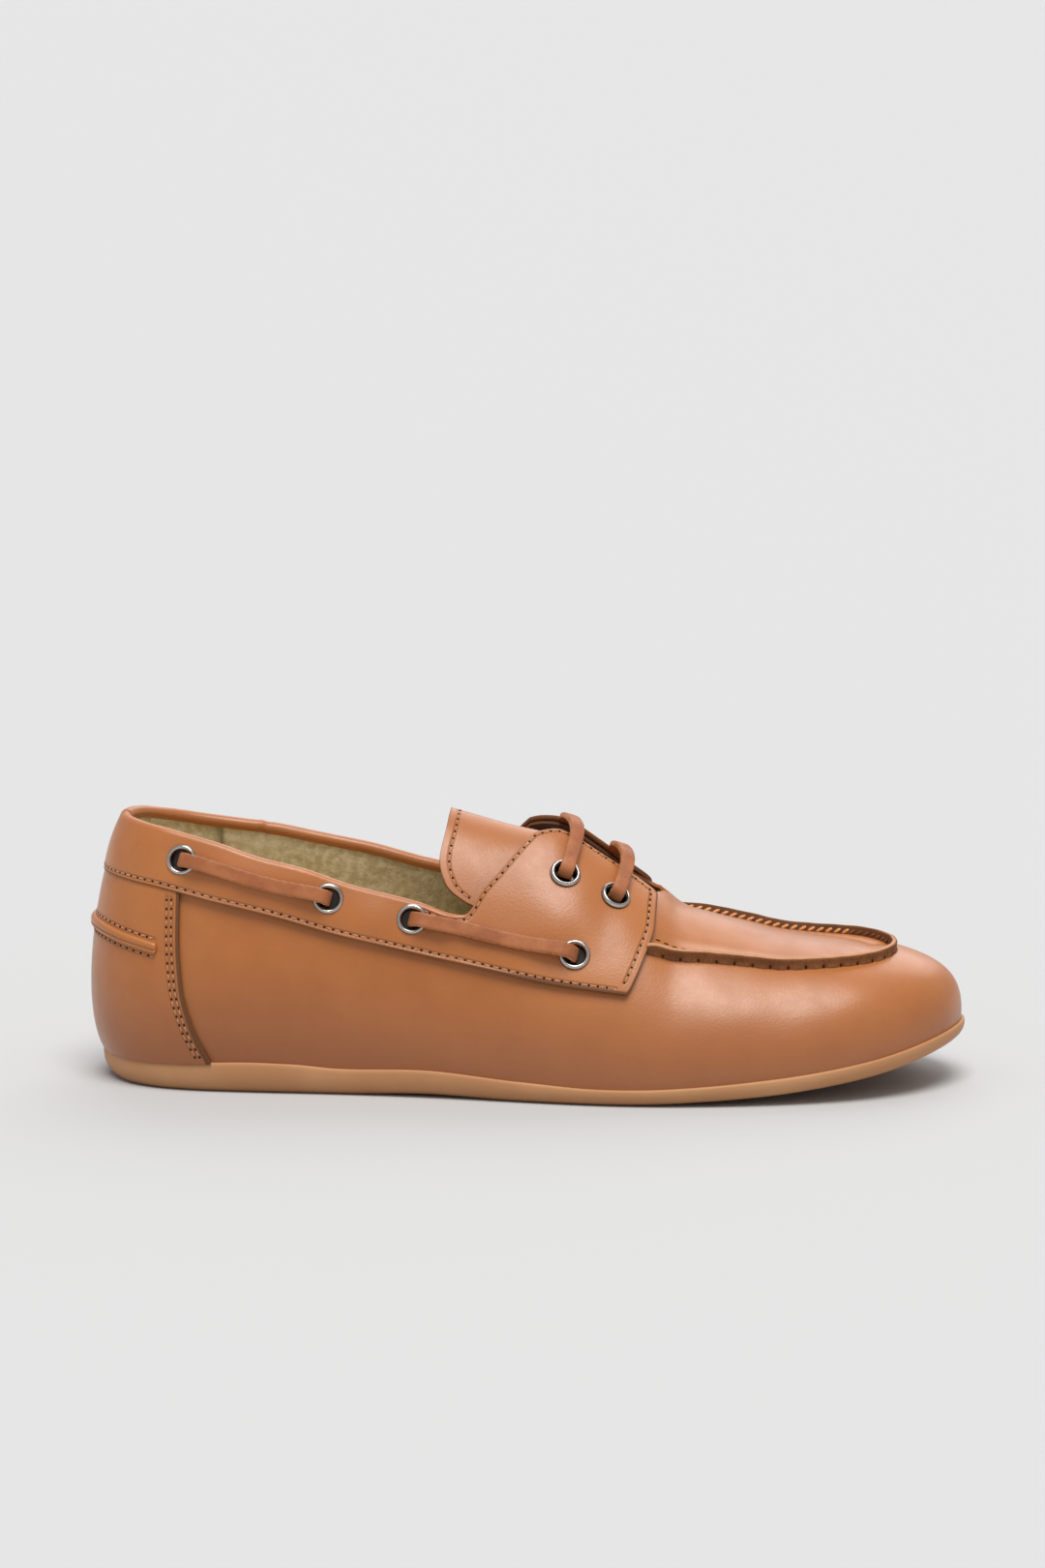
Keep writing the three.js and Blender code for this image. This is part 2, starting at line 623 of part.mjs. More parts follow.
// A flat thong along a path. Each stop has its point and the direction that the thong's width lies in.
function thong(stops) {
  const path = new THREE.CatmullRomCurve3(stops.map((stop) => stop.point));
  const steps = 2 * (stops.length - 1);
  const points = [];
  for (let i = 0; i <= steps; i++) {
    const t = i / steps;
    const at = Math.min(stops.length - 2, Math.floor(t * (stops.length - 1)));
    const share = t * (stops.length - 1) - at;
    const along = path.getTangent(t);
    const wide = stops[at].wide.clone().lerp(stops[at + 1].wide, share);
    wide.addScaledVector(along, -wide.dot(along)).normalize();
    const thick = along.clone().cross(wide);
    const centre = path.getPoint(t);
    const half = LACE_WIDTH / 2;
    const deep = LACE_THICKNESS / 2;
    for (const [a, b] of THONG_OUTLINE)
      points.push(centre.clone().addScaledVector(wide, a * half).addScaledVector(thick, b * deep));
  }
  const faces = [];
  const sides = THONG_OUTLINE.length;
  for (let i = 0; i < steps; i++)
    for (let k = 0; k < sides; k++) {
      const a = i * sides + k;
      const b = i * sides + ((k + 1) % sides);
      faces.push([a, b, b + sides], [a, b + sides, a + sides]);
    }
  for (let k = 1; k < sides - 1; k++) {
    const end = steps * sides;
    faces.push([0, k + 1, k], [end, end + k, end + k + 1]);
  }
  return solidOf(geometryOf(points, faces));
}

const LACE_DEPTH = 2.6; // how far an end reaches into its eyelet
const LACE_LIFT = EYELET_RISE + 2 * CLEARANCE + LACE_THICKNESS / 2; // its middle over the band's face

// The first stops of a lace that comes out of an eyelet and turns towards a direction.
function lacingFrom(place, towards) {
  const frame = eyeletFrame(place);
  const out = new THREE.Vector3().setFromMatrixColumn(frame, 2);
  const centre = new THREE.Vector3().setFromMatrixPosition(frame);
  const way = towards.clone().sub(centre);
  way.addScaledVector(out, -way.dot(out)).normalize();
  const wide = out.clone().cross(way);
  const stop = (over, up) => {
    const point = centre.clone().addScaledVector(way, over).addScaledVector(out, up);
    return { point, wide };
  };
  const bend = [
    { over: 0.02, up: 0 },
    { over: 0.32, up: 0.8 },
    { over: 1, up: 1 },
  ];
  return [stop(0, -LACE_DEPTH), ...bend.map((row) => stop(row.over * LACE_WIDTH, row.up * LACE_LIFT))];
}

const placeNamed = (hole, side) => eyeletPlaces.find((place) => place.hole === hole && place.side === side);
const centreOf = (place) => new THREE.Vector3().setFromMatrixPosition(eyeletFrame(place));

const LACE_SAG = 1; // of a stretch along the side, halfway

// A stretch along the side, over the band between two eyelets.
function sideLace(side, from, to) {
  const a = placeNamed(from, side);
  const b = placeNamed(to, side);
  const between = [0.35, 0.65].map((share) => {
    const start = centreOf(a);
    const end = centreOf(b);
    const x = start.x + share * (end.x - start.x);
    const z = start.z + share * (end.z - start.z) - LACE_SAG;
    const { u, v } = onSkin(side, x, z);
    const along = end.clone().sub(start).normalize();
    const lift = CLEARANCE + BAND_WALL + LACE_LIFT;
    return { point: offsetSkin(u, v, lift), wide: outward(u, v).cross(along).normalize() };
  });
  return thong([...lacingFrom(a, centreOf(b)), ...between, ...flipped(lacingFrom(b, centreOf(a)))]);
}

// The same stops walked the other way.
const flipped = (stops) =>
  stops.reverse().map(({ point, wide }) => ({ point, wide: wide.clone().negate() }));

const BAR_FORWARD = 2.5; // how far a bar over the throat bows to the toe
const BAR_OVER = 4.2; // how high it passes over the last's ridge
const BAR_ROUND = 2.4; // how far it has come down over the facings' edges

function bar(hole) {
  const a = placeNamed(hole, "lateral");
  const b = placeNamed(hole, "medial");
  const start = centreOf(a);
  const end = centreOf(b);
  const x = (start.x + end.x) / 2 + BAR_FORWARD;
  const crest = ridgeHeight(x) + BAR_OVER;
  const wide = new THREE.Vector3(-1, 0, 0.55).normalize();
  const stop = (share, drop) => ({
    point: new THREE.Vector3(x, start.y + share * (end.y - start.y), crest - drop),
    wide: wide.clone(),
  });
  const middle = [stop(0.25, BAR_ROUND), stop(0.5, 0), stop(0.75, BAR_ROUND)];
  const leave = lacingFrom(a, middle[0].point);
  const enter = lacingFrom(b, middle[2].point);
  return thong([...leave, ...middle, ...flipped(enter)]);
}

// Assembly
const finish = (color, roughness, metalness = 0) =>
  new THREE.MeshStandardMaterial({ color, roughness, metalness });
const TAN = finish("#b5713c", 0.42);
const EDGE = finish("#6e4224", 0.7);
const THONG = finish("#b1693f", 0.55);
const GUM = finish("#ab7a4d", 0.6);
const LINING = finish("#a08c5c", 0.95);
const STEEL = finish("#b9bbbd", 0.25, 1);

const shoe = new THREE.Group();
function add(name, solid, material) {
  const { vertProperties, triVerts } = solid.getMesh();
  const geometry = new THREE.BufferGeometry();
  geometry.setAttribute("position", new THREE.BufferAttribute(new Float32Array(vertProperties), 3));
  geometry.setIndex(new THREE.BufferAttribute(new Uint32Array(triVerts), 1));
  const mesh = new THREE.Mesh(geometry, material);
  mesh.name = name;
  shoe.add(mesh);
}

add("outsole", outsole(), GUM);
add("insole", insole(), LINING);
add("upper", upper(), TAN);
add("collar_band", collarBand(), TAN);
add("heel_counter", heelCounter(), TAN);
add("heel_kicker", kicker(), TAN);
add("apron_seam", apronSeam(), EDGE);
add("tongue", tongue(), TAN);
for (const place of eyeletPlaces) add(`eyelet_${place.name}`, eyelet(place), STEEL);
for (const side of Object.keys(SIDES)) {
  add(`lace_rear_${side}`, sideLace(side, "heel", "ankle"), THONG);
  add(`lace_front_${side}`, sideLace(side, "quarter", "vamp"), THONG);
}
add("lace_bar_rear", bar("facing_rear"), THONG);
add("lace_bar_front", bar("facing_front"), THONG);

// The origin goes under the middle of the shoe's box, on the floor.
const box = new THREE.Box3().setFromObject(shoe);
const centre = box.getCenter(new THREE.Vector3());
shoe.position.set(-centre.x, -centre.y, -box.min.z);

export default shoe;
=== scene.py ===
import math

import bpy
import numpy as np
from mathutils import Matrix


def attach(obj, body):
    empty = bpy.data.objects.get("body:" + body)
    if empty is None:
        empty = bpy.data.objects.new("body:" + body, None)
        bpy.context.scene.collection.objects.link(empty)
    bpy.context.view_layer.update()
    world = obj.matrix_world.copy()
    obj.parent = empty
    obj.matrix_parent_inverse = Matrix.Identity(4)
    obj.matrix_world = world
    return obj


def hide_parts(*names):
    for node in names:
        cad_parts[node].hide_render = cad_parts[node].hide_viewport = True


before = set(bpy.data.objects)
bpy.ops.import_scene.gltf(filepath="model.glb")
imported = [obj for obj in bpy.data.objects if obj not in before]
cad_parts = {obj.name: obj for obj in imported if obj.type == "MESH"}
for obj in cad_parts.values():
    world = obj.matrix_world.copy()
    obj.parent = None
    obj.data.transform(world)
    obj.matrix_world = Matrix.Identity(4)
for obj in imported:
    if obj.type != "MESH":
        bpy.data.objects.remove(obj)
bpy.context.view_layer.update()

# Studio: a plain pale floor, a pale surround and two wide soft lights, one high in front and a weaker one
# behind. The camera stands 12 degrees above the floor and sees the shoe's outer side, from 3 degrees
# towards the toe.
scene = bpy.context.scene
scene.view_settings.view_transform = "Standard"
scene.view_settings.look = "None"

surround = bpy.data.worlds.new("pale_surround")
surround.use_nodes = True
sky = surround.node_tree.nodes["Background"].inputs
sky["Color"].default_value = (0.97, 0.98, 1.0, 1)
sky["Strength"].default_value = 0.478
scene.world = surround


def soft_light(name, energy, spread, turn, colour):
    """A wide light from far away: its spread and turn are in degrees."""
    bpy.ops.object.light_add(type="SUN", rotation=[math.radians(angle) for angle in turn])
    light = bpy.context.object
    light.name = name
    light.data.energy = energy
    light.data.angle = math.radians(spread)
    light.data.color = colour


soft_light("key_light", 2.45, 34, (18, 3, 0), (1.0, 0.985, 0.955))
soft_light("back_light", 0.9, 50, (-48, 10, 0), (1.0, 1.0, 1.0))

CAMERA_RISE = math.radians(12)
CAMERA_TURN = math.radians(3)
CAMERA_DISTANCE = 1.8
CAMERA_TILT_UP = math.radians(2.69)  # puts the shoe in the lower part of the frame
CAMERA_PAN = math.radians(-0.03)
eye = CAMERA_DISTANCE * np.array(
    [
        math.sin(CAMERA_TURN) * math.cos(CAMERA_RISE),
        -math.cos(CAMERA_TURN) * math.cos(CAMERA_RISE),
        math.sin(CAMERA_RISE),
    ]
)
camera_data = bpy.data.cameras.new("photo_camera")
camera_data.sensor_fit = "VERTICAL"
camera_data.sensor_height = 24
camera_data.lens = 94.4
camera_data.clip_end = 100
camera = bpy.data.objects.new("photo_camera", camera_data)
camera.location = eye
camera.rotation_euler = (math.pi / 2 - CAMERA_RISE + CAMERA_TILT_UP, 0, CAMERA_TURN - CAMERA_PAN)
scene.collection.objects.link(camera)
scene.camera = camera


SOCKETS = {"colour": "Base Color", "rough": "Roughness", "metal": "Metallic", "normal": "Normal"}
SOCKETS.update(coat="Coat Weight", coat_rough="Coat Roughness", gloss="Specular IOR Level")
SOCKETS.update(sheen="Sheen Weight", sheen_rough="Sheen Roughness")


class Wire:
    """One output of a shader node; arithmetic on it adds the maths nodes."""

    def __init__(self, finish, socket):
        self.finish = finish
        self.socket = socket

    def maths(self, operation, *values):
        return self.finish.node("ShaderNodeMath", {"operation": operation}, dict(enumerate(values)))

    def __add__(self, other):
        return self.maths("ADD", self, other)

    def __sub__(self, other):
        return self.maths("SUBTRACT", self, other)

    def __rsub__(self, other):
        return self.maths("SUBTRACT", other, self)

    def __mul__(self, other):
        return self.maths("MULTIPLY", self, other)

    __radd__ = __add__
    __rmul__ = __mul__

    def fade(self, start, end, low=0.0, high=1.0):
        """A soft step from low at start to high at end."""
        values = {0: self, 1: start, 2: end, 3: low, 4: high}
        return self.finish.node("ShaderNodeMapRange", {"interpolation_type": "SMOOTHSTEP"}, values)


class Finish:
    """A material under construction."""

    def __init__(self, name):
        self.material = bpy.data.materials.new(name)
        self.material.use_nodes = True
        self.tree = self.material.node_tree
        self.shader = self.tree.nodes["Principled BSDF"]
        self.place = self.node("ShaderNodeTexCoord", output="Object")

    def node(self, kind, settings=None, values=None, output=0):
        made = self.tree.nodes.new(kind)
        for key, value in (settings or {}).items():
            setattr(made, key, value)
        for key, value in (values or {}).items():
            self.feed(made.inputs[key], value)
        return Wire(self, made.outputs[output])

    def feed(self, socket, value):
        if isinstance(value, Wire):
            self.tree.links.new(value.socket, socket)
        elif socket.type == "RGBA" and len(value) == 3:
            socket.default_value = (*value, 1)
        else:
            socket.default_value = value

    def noise(self, per_metre, detail=2.0, roughness=0.5, stretch=(1, 1, 1)):
        place = self.node("ShaderNodeMapping", {}, {"Vector": self.place, "Scale": stretch})
        values = {"Vector": place, "Scale": per_metre, "Detail": detail, "Roughness": roughness}
        return self.node("ShaderNodeTexNoise", {}, values)

    def pebbles(self, per_metre):
        return self.node("ShaderNodeTexVoronoi", {}, {"Vector": self.place, "Scale": per_metre})

    def blend(self, factor, first, second):
        values = {0: factor, 6: first, 7: second}
        return self.node("ShaderNodeMix", {"data_type": "RGBA", "clamp_factor": True}, values, output=2)

    def mark(self, name):
        """A number stored at each point of the piece."""
        return self.node("ShaderNodeAttribute", {"attribute_name": name}, output="Fac")

    def metres(self, axis):
        """The place along one axis; along Z it is the height above the floor."""
        return self.node("ShaderNodeSeparateXYZ", {}, {"Vector": self.place}, output=axis)

    def relief(self, depth_mm, height, base=None):
        values = {"Height": height, "Distance": depth_mm / 1000, "Strength": 1.0}
        if base is not None:
            values["Normal"] = base
        return self.node("ShaderNodeBump", {}, values)

    def finish(self, **sockets):
        for key, value in sockets.items():
            self.feed(self.shader.inputs[SOCKETS[key]], value)
        return self.material


bpy.ops.object.select_all(action="DESELECT")
bpy.ops.mesh.primitive_grid_add(x_subdivisions=4, y_subdivisions=4, size=40)
floor = bpy.context.object
floor.name = "studio_floor"
paper = Finish("pale_paper")
floor.data.materials.append(paper.finish(colour=(0.565, 0.568, 0.572), rough=0.9, gloss=0.1))

# Outsole: one moulded piece of smooth gum rubber, thicker under the heel, with a rounded side, a soft
# step in its thickness at the arch and a rising toe. It is cast to the last, so the last comes first.
LENGTH, BALL_WIDTH, INSTEP_HEIGHT, HEEL_HEIGHT = 254.0, 91.0, 75.0, 77.0
TOE_SPRING, HEEL_SOLE, BALL_SOLE, SOLE_LIP = 13.0, 9.1, 4.8, 1.0
MIDDLE = np.array([126.02414, 0.06315, 0.0])  # from the last's own corner to the middle of the shoe's box

# at, lateral, medial, ridge_at, ridge, flare, rise, reach, as in the part's source
SECTIONS = [
    (0.0145, 0, 0, 0.126, 0, 0.1, 0.19, 0.87),
    (0.047, 0.22, 0.214, 0.13, 0, 0.094, 0.21, 0.81),
    (0.14, 0.33, 0.315, 0.155, 0, 0.066, 0.26, 0.7),
    (0.3, 0.36, 0.28, 0.3, 0, 0.05, 0.31, 0.62),
    (0.455, 0.42, 0.33, 0.455, 0, 0.038, 0.34, 0.5),
    (0.6, 0.484, 0.445, 0.6, 0.01, 0.03, 0.39, 0.5),
    (0.74, 0.47, 0.49, 0.74, 0.025, 0.022, 0.43, 0.58),
    (0.868, 0.385, 0.43, 0.818, 0.035, 0.012, 0.5, 0.74),
    (0.955, 0.215, 0.3, 0.843, 0.035, 0.01, 0.57, 0.82),
    (0.9945, -0.045, 0.045, 0.85, 0.035, 0.01, 0.6, 0.85),
]
RIDGE = [(0.1, 1.31), (0.24, 1.27), (0.35, 1.14), (0.42, 1.07), (0.475, 1.037), (0.527, 1.015)]
RIDGE += [(0.59, 0.885), (0.642, 0.762), (0.673, 0.69), (0.71, 0.653), (0.75, 0.616), (0.79, 0.577)]
RIDGE += [(0.86, 0.543)]
SOLE_RISE = [(0, 0.12), (0.05, 0), (0.29, 0), (0.39, 0.06), (0.5, 0), (0.58, 0), (0.64, 0.02)]
SOLE_RISE += [(0.7, 0.08), (0.78, 0.2), (0.89, 0.5), (1, 1)]
SOLE_HEEL = [(0, 0.77), (0.05, 0.77), (0.12, 0.86), (0.19, 1), (0.24, 0.93), (0.29, 0.71), (0.39, 0.61)]
SOLE_HEEL += [(0.5, 0.31), (0.58, 0.04), (0.64, 0), (0.7, 0.02), (0.78, 0.08), (0.89, 0.08), (1, 0)]


def ease(rows, at):
    """Value of a table at one place, on a curve that never overshoots its rows."""
    where, value = np.array(rows, float).T
    at = np.clip(at, where[0], where[-1])
    step = np.diff(where)
    rate = np.diff(value) / step
    product, total = rate[:-1] * rate[1:], rate[:-1] + rate[1:]
    middle = np.where(product > 0, 2 * product / np.where(total == 0, 1, total), 0)
    slope = np.concatenate([rate[:1], middle, rate[-1:]])
    i = np.clip(np.searchsorted(where, at, side="right") - 1, 0, len(step) - 1)
    t = (at - where[i]) / step[i]
    start = (1 + 2 * t) * (1 - t) ** 2 * value[i] + t * (1 - t) ** 2 * step[i] * slope[i]
    return start + t * t * (3 - 2 * t) * value[i + 1] + t * t * (t - 1) * step[i] * slope[i + 1]


def unit(way):
    return way / np.linalg.norm(way, axis=-1, keepdims=True)


def sole_bottom(x):
    return TOE_SPRING * ease(SOLE_RISE, x / LENGTH)


def sole_top(x):
    return sole_bottom(x) + BALL_SOLE + (HEEL_SOLE - BALL_SOLE) * ease(SOLE_HEEL, x / LENGTH)


def ridge_height(x):
    return INSTEP_HEIGHT * ease(RIDGE, x / LENGTH)


def ridge_slope(x):
    return (ridge_height(x + LENGTH / 250) - ridge_height(x - LENGTH / 250)) / (LENGTH / 125)


rows = np.array(SECTIONS, float)
lateral_rows = np.column_stack([rows[:, 0], -rows[:, 1], rows[:, 3:]])
medial_rows = np.column_stack([rows[:, 0], rows[:, 2], rows[:, 3:]])[1:-1][::-1]
loop_rows = np.vstack([lateral_rows, medial_rows])
ROUND = len(loop_rows)  # the loop's length: 0 at the heel, half of it at the toe
ones = np.eye(ROUND)
spline = (4 * ones + np.roll(ones, 1, axis=1) + np.roll(ones, -1, axis=1)) / 6
loop_controls = np.linalg.solve(spline, loop_rows)


def section(u):
    """The last's section at a place round the loop: at, across, ridge_at, ridge, flare, rise, reach."""
    u = np.asarray(u, float)
    i = np.floor(u).astype(int)
    t = (u - i)[..., None]
    c = [loop_controls[(i + k) % ROUND] for k in (-1, 0, 1, 2)]
    near = (1 - t) ** 3 * c[0] + (3 * t**3 - 6 * t**2 + 4) * c[1]
    return (near + (-3 * t**3 + 3 * t**2 + 3 * t + 1) * c[2] + t**3 * c[3]) / 6


def station(u):
    """How far from the heel the section's foot stands."""
    return section(u)[..., 0] * LENGTH


def last(u, v):
    """A point on the last: u round the loop, v from 0 at the sole to 1 at the ridge."""
    u, v = np.broadcast_arrays(np.asarray(u, float), np.asarray(v, float))
    at, across, ridge_at, ridge, flare, rise, reach = np.moveaxis(section(u), -1, 0)
    foot = np.stack([at * LENGTH, across * BALL_WIDTH, sole_top(at * LENGTH)], -1)
    top = np.stack([ridge_at * LENGTH, ridge * BALL_WIDTH, ridge_height(ridge_at * LENGTH)], -1)
    inward = (top - foot) * (1, 1, 0)
    swollen = foot - unit(inward) * (flare * BALL_WIDTH)[..., None]
    swollen[..., 2] += rise * (top - foot)[..., 2]
    shoulder = top - inward * reach[..., None]
    shoulder[..., 2] += ridge_slope(top[..., 0]) * (shoulder - top)[..., 0]
    t = v[..., None]
    low, high = (1 - t) ** 3 * foot, t**3 * top
    return low + 3 * t * (1 - t) ** 2 * swollen + 3 * t * t * (1 - t) * shoulder + high


def outward(u, v):
    """The last's outward direction."""
    e = 1e-3
    u, v = np.broadcast_arrays(np.asarray(u, float), np.asarray(v, float))
    high = np.minimum(1, v + e)
    across = last(u + e, v) - last(u - e, v)
    up = last(u, high) - last(u, high - 2 * e)
    way = np.cross(across, up)
    size = np.linalg.norm(way, axis=-1, keepdims=True)
    slope = ridge_slope(section(u)[..., 2] * LENGTH)
    flat = unit(np.stack([-slope, 0 * slope, 1 + 0 * slope], -1))
    near_ridge = np.clip((v - 0.985) / 0.015, 0, 1)[..., None]
    return unit((1 - near_ridge) * way / np.maximum(size, 1e-12) + near_ridge * flat)


def over(u, v, offset):
    """A point at a distance over the last."""
    return last(u, v) + outward(u, v) * np.asarray(offset, float)[..., None]


def select_only(piece):
    bpy.ops.object.select_all(action="DESELECT")
    piece.select_set(True)
    bpy.context.view_layer.objects.active = piece


def rework(piece, operate, **settings):
    """Runs one operator on the whole mesh of a piece."""
    select_only(piece)
    bpy.ops.object.mode_set(mode="EDIT")
    bpy.ops.mesh.select_all(action="SELECT")
    operate(**settings)
    bpy.ops.object.mode_set(mode="OBJECT")


def wrapped(name, columns, rows_up, wrap, closed=False, marks=None, turned_over=False):
    """A flat grid of leather or rubber, laid on the last: wrap gives each point's place in millimetres."""
    bpy.ops.object.select_all(action="DESELECT")
    bpy.ops.mesh.primitive_grid_add(x_subdivisions=columns, y_subdivisions=rows_up, size=2)
    piece = bpy.context.object
    piece.name = name
    mesh = piece.data
    flat = np.empty(len(mesh.vertices) * 3)
    mesh.vertices.foreach_get("co", flat)
    s, t = (flat.reshape(-1, 3)[:, :2].T + 1) / 2
    place = wrap(s, t)
    mesh.vertices.foreach_set("co", ((place - MIDDLE) / 1000).ravel())
    for key, values in (marks(s, t, place) if marks else {}).items():
        mesh.attributes.new(key, "FLOAT", "POINT").data.foreach_set("value", np.asarray(values, float))
    mesh.update()
    if closed:
        rework(piece, bpy.ops.mesh.remove_doubles, threshold=1e-5)
    if turned_over:
        rework(piece, bpy.ops.mesh.flip_normals)
    return piece


def dressed(piece, material, replaced=(), wall=0, bevel=0):
    """Gives a piece its wall, rounded edges, smooth shading, material and its place on the shoe."""
    select_only(piece)
    work = []
    if wall:
        work.append(("SOLIDIFY", {"thickness": wall / 1000, "offset": -1}))
    if bevel:
        work.append(("BEVEL", {"width": bevel / 1000, "segments": 3, "angle_limit": math.radians(50)}))
    for kind, settings in work:
        bpy.ops.object.modifier_add(type=kind)
        for key, value in settings.items():
            setattr(piece.modifiers[-1], key, value)
        bpy.ops.object.modifier_apply(modifier=piece.modifiers[-1].name)
    bpy.ops.object.shade_smooth_by_angle(angle=math.radians(60))
    piece.data.materials.clear()
    piece.data.materials.append(material)
    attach(piece, "root")
    if replaced:
        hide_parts(*replaced)


gum = Finish("gum_rubber")
cloudy = gum.noise(35, 3)
specks = gum.noise(900, 2)
gum_colour = gum.blend(cloudy.fade(0.35, 0.7), (0.49, 0.232, 0.100), (0.56, 0.287, 0.133))
# Darker within 4.5 mm of the floor: painted shade along the sole's foot, where it meets the floor.
gum_colour = gum.blend(gum.metres("Z").fade(0.0, 0.0045, 0.35, 0.0), gum_colour, (0.24, 0.105, 0.045))
gum_relief = gum.relief(0.12, specks * 0.3 + cloudy * 0.7)
gum_rough = cloudy.fade(0.3, 0.7, 0.5, 0.62)
gum_material = gum.finish(colour=gum_colour, rough=gum_rough, gloss=0.35, normal=gum_relief)

# The sole's side from the middle of the tread up and over its top: outset, share of its thickness.
SOLE_SIDE = [(-4.5, 0), (-3.0, 0.0), (-1.9, 0.02), (-0.9, 0.1), (0.1, 0.24), (0.7, 0.42), (0.98, 0.62)]
SOLE_SIDE += [(1.0, 0.8), (0.9, 0.92), (0.62, 0.985), (0.2, 1.0), (-1.6, 0.985)]


def between(at, knots, table):
    """The rows of a table at places between its knots."""
    return np.array([np.interp(at, knots, column) for column in np.transpose(table)]).T


def along_rows(table, t):
    """The rows of a table at shares of the way along it."""
    return between(t * (len(table) - 1), range(len(table)), table)


def sole_edge(u, outset, share):
    """A point of the sole's side: outset from the last's foot line, share of the sole's thickness."""
    e = 1e-3
    here = section(u)
    along = unit((section(u + e) - section(u - e))[..., :2] * (LENGTH, BALL_WIDTH))
    x = here[..., 0] * LENGTH + along[..., 1] * outset
    z = sole_bottom(x) + share * (sole_top(x) - sole_bottom(x))
    return np.stack([x, here[..., 1] * BALL_WIDTH - along[..., 0] * outset, z], -1)


def sole_side(s, t):
    outset, share = along_rows(SOLE_SIDE, t).T
    return sole_edge(s * ROUND, outset * SOLE_LIP, share)


def across_shoe(s, t, inset, height):
    """A sheet across the shoe, between the two sides of its outline; height is a function of x."""
    lateral = sole_edge(s * ROUND / 2, inset + 0 * s, 1 + 0 * s)
    medial = sole_edge(ROUND - s * ROUND / 2, inset + 0 * s, 1 + 0 * s)
    place = lateral + (medial - lateral) * t[:, None]
    place[:, 2] = height(place[:, 0])
    return place


sole_wall = wrapped("outsole_side", 360, 22, sole_side, closed=True)
dressed(sole_wall, gum_material, ["outsole"])

TREAD_INSET = 4.4  # where the flat tread begins, inside the sole's rounded lower edge


def tread(s, t):
    return across_shoe(s, t, -TREAD_INSET * SOLE_LIP, sole_bottom)


tread_gum = Finish("gum_tread")
sipes = tread_gum.node(
    "ShaderNodeTexWave",
    {"wave_type": "BANDS", "bands_direction": "X", "wave_profile": "SIN"},
    {"Vector": tread_gum.place, "Scale": 95.0, "Distortion": 0.0},
)
dirt = tread_gum.noise(60, 4).fade(0.4, 0.7)
tread_colour = tread_gum.blend(dirt, (0.40, 0.185, 0.078), (0.30, 0.14, 0.06))
tread_relief = tread_gum.relief(0.6, sipes.fade(0.1, 0.35))
tread_material = tread_gum.finish(colour=tread_colour, rough=0.7, gloss=0.3, normal=tread_relief)
tread_sheet = wrapped("outsole_tread", 160, 40, tread, turned_over=True)
dressed(tread_sheet, tread_material)

# Insole: the board and sock glued inside, a thin pad covered in the same short napped cloth as the
# lining, a little hollowed by the foot.
napped = Finish("napped_lining")
nap = napped.noise(1500, 3, 0.6)
tufts = napped.noise(420, 3, 0.55)
clouds = napped.noise(60, 3)
# Towards the toe the cloth is darkened: painted shade deep inside the shoe.
painted_toe_shade = napped.metres("X").fade(-0.06, -0.015)
nap_colour = napped.blend(tufts.fade(0.35, 0.65), (0.64, 0.51, 0.27), (0.88, 0.76, 0.49))
nap_colour = napped.blend(clouds.fade(0.45, 0.75, 0.0, 0.35), nap_colour, (0.92, 0.80, 0.54))
nap_colour = napped.blend(painted_toe_shade * 0.35, nap_colour, (0.30, 0.25, 0.11))
nap_colour = napped.blend(napped.mark("seam_line"), nap_colour, (0.20, 0.15, 0.07))
nap_colour = napped.blend(napped.mark("facing"), nap_colour, (0.055, 0.021, 0.008))
nap_relief = napped.relief(0.35, nap * 0.5 + tufts)
napped_material = napped.finish(
    colour=nap_colour, rough=0.95, gloss=0.1, sheen=0.35, sheen_rough=0.5, normal=nap_relief
)
INSOLE_TOP, INSOLE_INSET, INSOLE_RIM = 2.8, 3.0, 0.8  # over the sole, in from its outline, hollow


def footbed(s, t):
    place = across_shoe(s, t, -INSOLE_INSET, sole_top)
    place[:, 2] += INSOLE_TOP + INSOLE_RIM * np.abs(2 * t - 1) ** 6
    return place


bed = wrapped("insole_sock", 160, 40, footbed)
dressed(bed, napped_material, ["insole"])

# Upper: quarters, vamp and apron plug of smooth tan leather about 1.8 mm thick with its lining, sewn
# together and pulled over the last, then fixed to the sole. The lining is a short nap.
COLLAR = {  # at, up: height of the collar's edge as a share of HEEL_HEIGHT, on each side
    -1: [(-0.08, 0.995), (0.04, 0.995), (0.08, 0.982), (0.15, 0.93), (0.2, 0.878), (0.25, 0.84)]
    + [(0.31, 0.776), (0.38, 0.722), (0.433, 0.672)],
    1: [(-0.08, 1.0), (0.04, 1.0), (0.08, 0.97), (0.15, 0.93), (0.2, 0.91), (0.25, 0.88)]
    + [(0.31, 0.845), (0.38, 0.785), (0.433, 0.75)],
}
FACING_BACK = {
    -1: [(0.455, 0.765), (0.47, 0.815), (0.49, 0.885), (0.51, 0.945), (0.528, 0.985), (0.54, 1.05)],
    1: [(0.455, 0.775), (0.47, 0.84), (0.49, 0.92), (0.51, 0.98), (0.528, 1.015), (0.54, 1.06)],
}
PAST_THROAT = [(0.7, 2.2)]  # past the facings the line runs up clear of the last
THROAT = {  # at, half width as a share of THROAT_WIDTH
    -1: [(0.46, 0.85), (0.49, 0.75), (0.515, 0.6), (0.54, 0.5), (0.63, 0.5), (0.645, 0.4), (0.655, 0.0)],
    1: [(0.46, 0.8), (0.49, 0.55), (0.515, 0.42), (0.54, 0.38), (0.58, 0.42), (0.62, 0.6)]
    + [(0.645, 0.5), (0.655, 0.0)],
}
THROAT_WIDTH = 18.0
THROAT_BACK, THROAT_TIP = 0.44 * LENGTH, 0.655 * LENGTH
UPPER_WALL, LEATHER = 1.8, 0.9  # the whole wall, and the leather without its lining


def side_of(u):
    return np.where(np.asarray(u) % ROUND < ROUND / 2, -1, 1)


def on_side(side, u):
    """Turns a place round the outer half of the loop into the same one on either side."""
    return np.where(np.asarray(side) < 0, u, ROUND - u)


